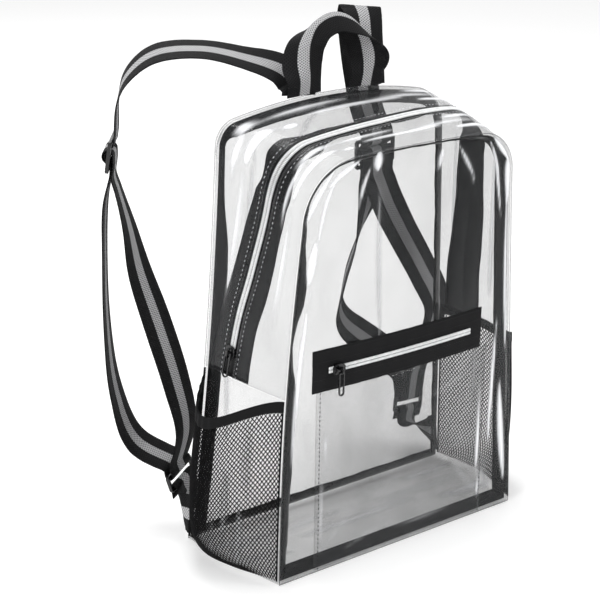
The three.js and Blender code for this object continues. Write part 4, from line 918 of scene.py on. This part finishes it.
# Front pocket: sheet, tape, coil and stitch lines
POCKET_LEFT = POCKET_SHIFT - POCKET_WIDTH / 2
TAPE_LEFT = POCKET_TAPE_SHIFT - POCKET_TAPE_WIDTH / 2
TAPE_BOTTOM = POCKET_HEIGHT + GAP
TAPE_MIDDLE = TAPE_BOTTOM + POCKET_TAPE_HEIGHT / 2
# Pocket folds, which also place painted highlights on the pocket sheet
POCKET_FOLDS_AND_HIGHLIGHTS = [
    (0.04, 0.5, 0.9, 88, 0.006, 0.3), (0.965, 0.45, 0.8, 92, 0.008, 0.6), (0.12, 0.2, 0.3, 50, 0.012, 0.12),
    (0.88, 0.25, 0.35, 128, 0.012, 0.12), (0.2, 0.9, 0.25, 172, 0.010, 0.15),
    (0.75, 0.85, 0.3, 14, 0.010, 0.1),
    (0.3, 0.12, 0.3, 20, 0.012, 0.12), (0.6, 0.1, 0.4, 176, 0.012, 0.12),
]


def front_pocket():
    def at(p, q, sunk):
        x, z = POCKET_LEFT + POCKET_WIDTH * p, lerp(POCKET_FOOT, POCKET_HEIGHT, q)
        swell = POCKET_SWELL * math.sin(math.pi * p) * math.sin(math.pi * q)
        ease = smooth(min(p, 1 - p, q, 1 - q) / 0.06)
        relief = 0.9 * fold_and_highlight_mask(POCKET_FOLDS_AND_HIGHLIGHTS, p, q) + 0.7 * undulation(p, q, 2.2)
        return on_front(x, z, GAP + VINYL + swell + relief * ease - sunk)

    obj = wall(
        "pocket_sheet", 60, 52, lambda u, v: at(u, v, 0), lambda u, v: at(u, v, SHEET), CLEAR,
        fold=lambda u, v: fold_and_highlight_mask(POCKET_FOLDS_AND_HIGHLIGHTS, u, v),
    )
    keep(obj, BODY, "clear_vinyl", "pocket_panel")

    def tape(u, v, lift):
        x, z = TAPE_LEFT + POCKET_TAPE_WIDTH * u, TAPE_BOTTOM + POCKET_TAPE_HEIGHT * v
        ripple = 0.15 * math.sin(u * 60) + 0.35 * math.exp(-((v - 0.5) / 0.16) ** 2)
        return on_front(x, z, lift + ripple)

    obj = wall(
        "pocket_zip_cloth", 100, 16,
        lambda u, v: tape(u, v, GAP + 0.9), lambda u, v: tape(u, v, GAP + 0.1), POCKET_TAPE,
        uv=lambda u, v: (v, u * POCKET_TAPE_WIDTH * MM),
    )
    keep(obj, BODY, "zip_tape", "pocket_zip_tape")
    out = np.array([0, -1, 0])
    half = POCKET_TEETH_LENGTH / 2
    for row, off, nodes in ((0, -1.5, ["pocket_zip_teeth"]), (1, 1.5, [])):
        xs = np.linspace(POCKET_TAPE_SHIFT - half, POCKET_TAPE_SHIFT + half, 120)
        path = [on_front(x, TAPE_MIDDLE + off, GAP + 2.4) for x in xs]
        obj = beads(f"pocket_coil_{row}", path, [out] * len(path), 1.4, (1.15, 3.2, 1.9), COIL)
        keep(obj, BODY, "zip_teeth", *nodes)
    for name, z in (
        ("low", TAPE_BOTTOM + 2.5), ("high", TAPE_BOTTOM + POCKET_TAPE_HEIGHT - 2.5),
        ("inner_low", TAPE_MIDDLE - 8), ("inner_high", TAPE_MIDDLE + 8),
    ):
        xs = np.linspace(TAPE_LEFT + 2, TAPE_LEFT + POCKET_TAPE_WIDTH - 2, 80)
        path = [on_front(x, z, GAP + 1.1) for x in xs]
        obj = beads(f"pocket_stitches_{name}", path, [out] * len(path), 3.0, (2.0, 0.4, 0.35), THREAD)
        keep(obj, BODY, "binding_tape")
    for name, x in (("left", POCKET_LEFT + 3), ("right", POCKET_LEFT + POCKET_WIDTH - 3)):
        path = [on_front(x, z, GAP + VINYL + 1.6) for z in np.linspace(5, POCKET_HEIGHT, 60)]
        obj = beads(f"pocket_stitches_{name}", path, [out] * len(path), 4.2, (2.4, 0.95, 0.6), THREAD)
        keep(obj, BODY, "binding_tape")


# Net side pockets
def net_top(across):
    return NET_TOP - NET_DIP * math.cos(math.pi * (across - 0.5)) ** 2


def net_point(side, across, z, sunk):
    q = min(1, z / LOWER_SEAM_HEIGHT)
    station = q if side < 0 else STATIONS_END - q
    depth = gusset_depth(station)
    back = lerp(2, depth - 2, across) / depth
    point = gusset(station, back, -GAP - 1.4)
    round_share = max(0.0, math.cos(math.pi * (across - 0.5))) ** 1.3
    bulge = NET_BULGE * follow(NET_SHAPE, z / net_top(across)) * round_share
    point[0] += side * (bulge - sunk)
    point[2] = z
    return point


def net_pocket(side):
    name = "left" if side < 0 else "right"
    columns, rows = 44, 62
    points, edges, index = [], [], {}
    for row in range(rows + 1):
        for column in range(columns + 1):
            across = (column + (0.5 if row % 2 else 0)) / (columns + 0.5)
            z = lerp(NET_FOOT, net_top(across) + 1, row / rows)
            index[row, column] = len(points)
            points.append(net_point(side, across, z, 0.7))
    for row in range(rows):
        for column in range(columns + 1):
            here = index[row, column]
            edges.append((here, index[row + 1, column]))
            other = column + (1 if row % 2 else -1)
            if 0 <= other <= columns:
                edges.append((here, index[row + 1, other]))
    values = {"radius": NET_THREAD * MM, "material": NET}
    obj = grown(f"{name}_net", points, edges, THREADS, THREAD_INPUTS, values)
    keep(obj, BODY, "net", f"{name}_net_pocket")

    def band(u, v, sunk):
        ripple = 0.35 * math.sin(u * 95) * smooth(min(u, 1 - u) * 5)
        return net_point(side, u, net_top(u) + GAP + BAND_HEIGHT * v, sunk - ripple)

    obj = wall(
        f"{name}_elastic", 90, 4, lambda u, v: band(u, v, -0.3), lambda u, v: band(u, v, 1.5), ELASTIC,
        uv=lambda u, v: (v, u * 0.17),
    )
    keep(obj, BODY, "binding_tape", f"{name}_pocket_band")
    for row, across in (("front", 0), ("back", 1)):
        hem = [net_point(side, across, z, 0.4) for z in np.linspace(NET_FOOT, NET_TOP, 60)]
        keep(rod(f"{name}_net_hem_{row}", hem, 0.9, NET, sides=6), BODY, "net")


# Webbing: handle, shoulder straps and lower anchors
WEBBING_HALF = WEBBING_WIDTH / 2
SKIN = WEBBING_THICKNESS / 2
SEAM_STAND = 2 * GAP
STRAP_STAND = GAP + SKIN
HANDLE_SPAN = 71
HANDLE_SHIFT = -1
HANDLE_RISE = 71
STRAP_ANCHOR = 41
STRAP_REACH = 172
RIGHT_STRAP_REACH = 100
STRAP_PLANE_ANGLE = 39
LOWER_ANCHOR_HEIGHT = 25
HARDWARE_BAR = 3.4
SLIDE_WINDOW = 9.5
RING_WINDOW = 10
BAR_WRAP = HARDWARE_BAR * math.sqrt(0.5) + GAP * 2 + SKIN
SLIDE_PITCH = SLIDE_WINDOW + HARDWARE_BAR
RING_PITCH = RING_WINDOW + HARDWARE_BAR
PASS_UNDER = HARDWARE_BAR / 2 + GAP + SKIN
PASS_OVER = BAR_WRAP + WEBBING_THICKNESS + GAP * 2

# Handle: across, up, back, turn and fold of the edges in degrees
HANDLE_WAY = [
    (-0.5, 0, 0, 90, 0), (-0.51, 0.2, -0.05, 90, 4), (-0.53, 0.42, -0.02, 62, 18),
    (-0.52, 0.68, -0.04, 32, 34), (-0.39, 0.9, -0.05, 8, 50), (-0.1, 1, -0.05, 0, 54),
    (0.2, 0.91, -0.05, -6, 50), (0.43, 0.68, -0.05, -26, 36), (0.52, 0.42, -0.03, -58, 20),
    (0.51, 0.2, -0.05, -90, 4), (0.5, 0, 0, -90, 0),
]
# Straps: shares of the strap's reach out, of the back's height up and of the reach away, and turn in degrees
LEFT_STRAP_TOP = [
    (0, 1, 0, -51), (0, 1.014, 0.004, -51), (0.03, 1.032, 0.036, -47), (0.1, 1.053, 0.045, -34),
    (0.26, 1.077, 0.01, -19), (0.5, 1.096, 0, -13), (0.75, 1.082, 0, -16), (0.885, 1.032, 0, -13),
    (0.93, 0.98, 0, -5),
]
LEFT_RUN_OUT = [
    (1, 0.75, 0, 2), (1.006, 0.637, -0.03, 0), (0.994, 0.46, -0.07, 2), (0.948, 0.315, -0.116, 8),
    (0.84, 0.2, -0.163, 16),
]
LEFT_RUN_IN = [
    (0.565, 0.235, -0.17, 26), (0.622, 0.346, -0.14, 32), (0.727, 0.484, -0.105, 32),
    (0.82, 0.598, -0.07, 24),
    (0.878, 0.7, -0.035, 12),
]
RIGHT_STRAP_TOP = [
    (0, 1, 0, -51), (0.009, 1.015, 0.006, -51), (0.036, 1.062, 0.029, -50), (0.075, 1.112, 0.061, -46),
    (0.14, 1.15, 0.1, -34), (0.225, 1.165, 0.15, -4), (0.31, 1.148, 0.19, 26), (0.386, 1.1, 0.205, 44),
    (0.46, 1.012, 0.175, 49), (0.504, 0.91, 0.09, 50),
]
RIGHT_RUN_OUT = [
    (0.6, 0.69, 0.05, 74), (0.65, 0.575, 0.17, 98), (0.67, 0.47, 0.28, 100), (0.77, 0.365, 0.32, 88),
    (0.95, 0.28, 0, 76), (1.07, 0.215, -0.28, 62),
]
RIGHT_RUN_IN = [
    (1.055, 0.215, -0.42, 62), (1.07, 0.31, -0.54, 62), (1.02, 0.407, -0.6, 62), (0.85, 0.5, -0.47, 64),
    (0.64, 0.61, -0.28, 62), (0.53, 0.69, -0.14, 54),
]
LEFT_SLIDE = {"out": 0.97, "up": 0.862, "away": 0, "turn": 0, "lean": 7}
LEFT_RING = {"out": 0.605, "up": 0.138, "away": -0.198, "turn": 23, "lean": -18}
RIGHT_SLIDE = {"out": 0.53, "up": 0.812, "away": 0.01, "turn": 49, "lean": 5}
RIGHT_RING = {"out": 1.07, "up": 0.14, "away": -0.36, "turn": 62, "lean": -10}


def vec(*values):
    return np.array([float(v) for v in values])


def turned(v, axis, angle):
    return np.array(Matrix.Rotation(angle, 3, Vector(axis)) @ Vector(v))


# Smooth curve through points, spaced by the root of the distances between them
class SmoothCurve:
    def __init__(self, points):
        self.points = points

    def point(self, t):
        points, last = self.points, len(self.points) - 1
        place = min(max(t, 0), 1) * last
        i = min(int(place), last - 1)
        w = place - i
        p1, p2 = points[i], points[i + 1]
        p0 = points[i - 1] if i > 0 else 2 * points[0] - points[1]
        p3 = points[i + 2] if i + 2 <= last else 2 * points[last] - points[last - 1]
        gaps = [max(np.sum((b - a) ** 2), 1e-16) ** 0.25 for a, b in ((p0, p1), (p1, p2), (p2, p3))]
        d0, d1, d2 = gaps
        start = ((p1 - p0) / d0 - (p2 - p0) / (d0 + d1) + (p2 - p1) / d1) * d1
        end = ((p2 - p1) / d1 - (p3 - p1) / (d1 + d2) + (p3 - p2) / d2) * d1
        cube = 2 * p1 - 2 * p2 + start + end
        square = -3 * p1 + 3 * p2 - 2 * start - end
        return p1 + w * (start + w * (square + w * cube))

    def tangent(self, t):
        step = 0.0001
        return unit(self.point(min(1, t + step)) - self.point(max(0, t - step)))


def held(u):
    return max(0, 1 - u / 0.35) ** 2


def curve_stations(rows, steps, reference, spin):
    curve = SmoothCurve([row["point"] for row in rows])
    turns = [(i, row["turn"], row.get("fold", 0)) for i, row in enumerate(rows)]
    stations = []
    for i in range(steps + 1):
        u = i / steps
        along = curve.tangent(u)
        side = unit(reference - along * np.dot(reference, along))
        place = u * (len(rows) - 1)
        across = turned(side, along, math.radians(spin * follow(turns, place, 1)))
        if "across" in rows[0]:
            across = lerp(across, rows[0]["across"], held(u))
        if "across" in rows[-1]:
            across = lerp(across, rows[-1]["across"], held(1 - u))
        stations.append({"point": curve.point(u), "across": unit(across), "fold": follow(turns, place, 2)})
    return stations


def back_seam_top(x):
    _, _, run, rise, _ = corner_of("back", "left" if x < 0 else "right")
    return OUTLINES["back"]["height"] - rise * (x / run) ** 2


# More stations between the given ones, on a smooth curve
def finer(stations, times):
    curve = SmoothCurve([s["point"] for s in stations])
    last = len(stations) - 1
    result = []
    for k in range(last * times + 1):
        place = k / times
        i = min(int(place), last - 1)
        w = place - i
        across = unit(lerp(stations[i]["across"], stations[i + 1]["across"], w))
        fold = lerp(stations[i].get("fold", 0), stations[i + 1].get("fold", 0), w)
        result.append({"point": curve.point(place / last), "across": across, "fold": fold})
    return result


# Webbing with soft edges; U runs across it and V along it
def webbing(name, stations, node_name):
    shares = [-1, -0.96, -0.8, -0.5, -0.2, 0, 0.2, 0.5, 0.8, 0.96, 1]
    points, uvs, faces = [], [], []
    length, last = 0.0, len(stations) - 1
    for i, station in enumerate(stations):
        before, after = stations[max(0, i - 1)]["point"], stations[min(last, i + 1)]["point"]
        along = unit(after - before)
        side = unit(station["across"] - along * np.dot(station["across"], along))
        face = np.cross(side, along)
        fold = math.radians(station["fold"])
        if i:
            length += np.linalg.norm(station["point"] - stations[i - 1]["point"])
        for layer in (-1, 1):
            for share in shares if layer < 0 else reversed(shares):
                soft = 0.03
                flat = math.sqrt(soft)
                crease = (math.sqrt(share * share + soft) - flat) / (math.sqrt(1 + soft) - flat)
                sideways = share * WEBBING_HALF * math.cos(fold)
                drop = crease * WEBBING_HALF * math.sin(fold)
                thick = SKIN * (1 - 0.45 * smooth((abs(share) - 0.9) / 0.1))
                points.append(station["point"] + side * sideways + face * (layer * thick - drop))
                uvs.append(((share + 1) / 2, length * MM))
    ring = len(shares) * 2
    for i in range(last):
        for k in range(ring):
            a, b = i * ring + k, i * ring + (k + 1) % ring
            faces.append((a, b, b + ring, a + ring))
    half = len(shares)
    for base, flip in ((0, True), (last * ring, False)):
        for k in range(half - 1):
            face = (base + k, base + k + 1, base + ring - 2 - k, base + ring - 1 - k)
            faces.append(tuple(reversed(face)) if flip else face)
    obj = add_mesh(name, points, outward(points, faces), WEBBING, uvs)
    keep(obj, BODY, "webbing", node_name)


def handle():
    y = plane_depth("back", OUTLINES["back"]["height"]) + STRAP_STAND - WEBBING_THICKNESS - 2 * GAP
    foot = back_seam_top(HANDLE_SPAN / 2 - WEBBING_HALF) + SEAM_STAND
    rise = OUTLINES["back"]["height"] + HANDLE_RISE - foot
    rows = [{
        "point": vec(HANDLE_SHIFT + across * HANDLE_SPAN, y + back * WEBBING_WIDTH, foot + up * rise),
        "turn": turn,
        "fold": fold,
    } for across, up, back, turn, fold in HANDLE_WAY]
    webbing("handle_webbing", curve_stations(rows, 120, vec(0, -1, 0), 1), "top_handle")


def strap_frame(side):
    angle = math.radians(STRAP_PLANE_ANGLE)
    out = vec(side * math.cos(angle), math.sin(angle), 0)
    away = vec(-side * math.sin(angle), math.cos(angle), 0)
    reach = STRAP_REACH if side < 0 else RIGHT_STRAP_REACH
    anchor = vec(side * STRAP_ANCHOR, plane_depth("back", OUTLINES["back"]["height"]) + STRAP_STAND, 0)

    def place(out_share, up, away_share):
        point = anchor + out * out_share * reach + away * away_share * reach
        point[2] = up * OUTLINES["back"]["height"]
        return point

    return side, out, away, place


def hardware_frame(strap, spot):
    side, out, away, place = strap
    lean = math.radians(spot["lean"])
    down = vec(0, 0, -math.cos(lean)) + out * math.sin(lean)
    turn = math.radians(-side * spot["turn"])
    across = turned(away, down, turn)
    face = turned(unit(out - down * np.dot(out, down)), down, turn)
    centre = place(spot["out"], spot["up"], spot["away"])

    def at(along, outwards, sideways=0):
        return centre + down * along + face * outwards + across * sideways

    return {"across": across, "at": at, "turn": spot["turn"]}


def wrap(hardware, along, start, end, steps):
    stations = []
    for i in range(steps + 1):
        angle = math.radians(lerp(start, end, i / steps))
        point = hardware["at"](along + BAR_WRAP * math.cos(angle), BAR_WRAP * math.sin(angle))
        stations.append({"point": point, "across": hardware["across"]})
    return stations


SLIDE_WAY = [
    (-1.5, -1), (-1, -1), (-0.78, -0.95), (-0.6, -0.3), (-0.42, 0.42), (-0.24, 0.84), (0, 1),
    (0.24, 0.84), (0.42, 0.42), (0.6, -0.3), (0.78, -0.95), (1, -1), (1.5, -1),
]


def shoulder_strap(side, top, slide_spot, run_out, ring_spot, run_in, name, node_name):
    strap = strap_frame(side)
    slide, ring = hardware_frame(strap, slide_spot), hardware_frame(strap, ring_spot)
    spin = -side
    placed = lambda rows: [{"point": strap[3](*row[:3]), "turn": row[3]} for row in rows]
    through = [{
        "point": slide["at"](along * SLIDE_PITCH, out * (PASS_UNDER if out < 0 else PASS_OVER)),
        "across": slide["across"],
    } for along, out in SLIDE_WAY]
    under = PASS_UNDER + WEBBING_THICKNESS + GAP * 2
    loop = [
        {"point": slide["at"](along * SLIDE_PITCH, -under * deep), "across": slide["across"]}
        for along, deep in ((1.6, 1), (1, 1), (0.5, 0.95))
    ] + wrap(slide, 0, -90, -375, 8)
    lead = lambda out: {"point": ring["at"](-RING_PITCH / 2, out * BAR_WRAP), "across": ring["across"]}
    bar = [lead(1)] + wrap(ring, 0, 90, -90, 6) + [lead(-1)]
    ends = lambda station, hardware: {**station, "turn": hardware["turn"]}
    rows = placed(top)
    rows[0]["point"][2] = back_seam_top(STRAP_ANCHOR - WEBBING_HALF) + SEAM_STAND
    first = curve_stations(rows + [ends(through[0], slide)], 26, strap[2], spin)
    rows = [ends(through[-1], slide)] + placed(run_out) + [ends(bar[0], ring)]
    second = curve_stations(rows, 20, strap[2], spin)
    rows = [ends(bar[-1], ring)] + placed(run_in) + [ends(loop[0], slide)]
    third = curve_stations(rows, 20, strap[2], -spin)
    stations = first[:-1] + through + second[1:-1] + bar + third[1:-1] + loop
    webbing(name, finer(stations, 4), node_name)


def lower_anchor(side, ring_spot, name, node_name):
    ring = hardware_frame(strap_frame(side), ring_spot)
    q = LOWER_ANCHOR_HEIGHT / LOWER_SEAM_HEIGHT
    station = lambda share: share if side < 0 else STATIONS_END - share
    root = seam("back", station(q))
    along = unit(seam("back", station(q * 1.5)) - seam("back", station(q * 0.5)))
    start = root + vec(side * (GAP + SKIN), GAP * 2, 0)
    flat = ring["across"] * side
    bar = wrap(ring, RING_PITCH, -60, -310, 8)
    joint = ring["at"](RING_PITCH + BAR_WRAP * 3.2, -WEBBING_THICKNESS * 2)
    curve = SmoothCurve([start, start + vec(0, WEBBING_WIDTH * 0.3, 0), joint, bar[0]["point"]])
    stations = []
    for i in range(10):
        u = i / 10
        across = unit(lerp(along, flat, smooth(u / 0.85)))
        stations.append({"point": curve.point(u), "across": across})
    stations += [{"point": s["point"], "across": flat} for s in bar]
    stations.append({"point": ring["at"](RING_PITCH + BAR_WRAP * 2.6, BAR_WRAP), "across": flat})
    webbing(name, finer(stations, 4), node_name)


# Slides, rings, sliders and pulls keep their CAD shape, with rounded edges
def finish_hardware(name, material, width):
    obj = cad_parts[name]
    obj.data.materials.clear()
    obj.data.materials.append(material)
    weld = obj.modifiers.new("weld", "WELD")
    weld.merge_threshold = 0.00001
    bevel = obj.modifiers.new("rounded_edges", "BEVEL")
    bevel.width = width * MM
    bevel.segments = 3
    bevel.limit_method = "ANGLE"
    bevel.angle_limit = math.radians(35)
    bevel.harden_normals = True
    bevel.use_clamp_overlap = True


# Floor, lights and the picture's white surround
def stage():
    size = 40
    mesh = bpy.data.meshes.new("floor")
    corners = [(-size, -size, 0), (size, -size, 0), (size, size, 0), (-size, size, 0)]
    mesh.from_pydata(corners, [], [(0, 1, 2, 3)])
    material, _, shader = new_material("floor_white", (0.9, 0.9, 0.9), 0.9, Specular_IOR_Level=0.1)
    shader.inputs["Emission Color"].default_value = (1, 1, 1, 1)
    shader.inputs["Emission Strength"].default_value = 0.2
    mesh.materials.append(material)
    floor = bpy.data.objects.new("floor", mesh)
    floor.location.z = -0.0006
    bpy.context.collection.objects.link(floor)
    world = bpy.data.worlds.new("white_surround")
    world.use_nodes = True
    world.node_tree.nodes["Background"].inputs["Color"].default_value = (1, 1, 1, 1)
    world.node_tree.nodes["Background"].inputs["Strength"].default_value = 0.74
    bpy.context.scene.world = world
    for name, place, size, power in (
        ("softbox_left", (-1.9, -0.5, 1.2), 0.7, 16), ("softbox_right", (1.5, -1.6, 1.3), 0.5, 9),
        ("softbox_top", (0.1, 0.5, 2.0), 1.0, 16), ("softbox_back", (0.6, 1.8, 1.4), 0.7, 9),
    ):
        data = bpy.data.lights.new(name, "AREA")
        data.size = size
        data.energy = power
        lamp = bpy.data.objects.new(name, data)
        lamp.location = place
        lamp.rotation_euler = (Vector((0, 0, 0.2)) - Vector(place)).to_track_quat("-Z", "Y").to_euler()
        bpy.context.collection.objects.link(lamp)
    scene = bpy.context.scene
    scene.view_settings.view_transform = "Standard"
    scene.cycles.transparent_max_bounces = 40


add_camera()
panel_sheet("front", "front_sheet", FRONT_FOLDS_AND_HIGHLIGHTS, "front_panel")
panel_sheet("back", "back_sheet", BACK_FOLDS_AND_HIGHLIGHTS, "back_panel")
side_strip(
    "front_side_strip", 1.002, 6.998,
    lambda s, d: (PANEL_ROOM, zip_share(s) * d - ZIP_SLOT_WIDTH / 2), 0, 220, 14, "gusset_front_strip",
)
side_strip(
    "back_side_strip", 1.002, 6.998,
    lambda s, d: (zip_share(s) * d + ZIP_SLOT_WIDTH / 2, d - PANEL_ROOM), 0, 220, 14, "gusset_back_strip",
)
lower_gusset()
seam_roll("front")
seam_roll("back")
binding_tape("front", FRONT_LIE)
binding_tape("back", BACK_LIE)
main_zip()
front_pocket()
net_pocket(-1)
net_pocket(1)
handle()
shoulder_strap(
    -1, LEFT_STRAP_TOP, LEFT_SLIDE, LEFT_RUN_OUT, LEFT_RING, LEFT_RUN_IN,
    "left_strap_webbing", "left_strap",
)
shoulder_strap(
    1, RIGHT_STRAP_TOP, RIGHT_SLIDE, RIGHT_RUN_OUT, RIGHT_RING, RIGHT_RUN_IN,
    "right_strap_webbing", "right_strap",
)
lower_anchor(-1, LEFT_RING, "left_anchor_webbing", "left_lower_anchor")
lower_anchor(1, RIGHT_RING, "right_anchor_webbing", "right_lower_anchor")
for name in ("left_slide", "left_ring", "right_slide", "right_ring"):
    finish_hardware(name, PLASTIC, 0.9)
for name in ("main_slider", "main_pull", "pocket_slider", "pocket_pull"):
    finish_hardware(name, METAL, 0.35)
stage()
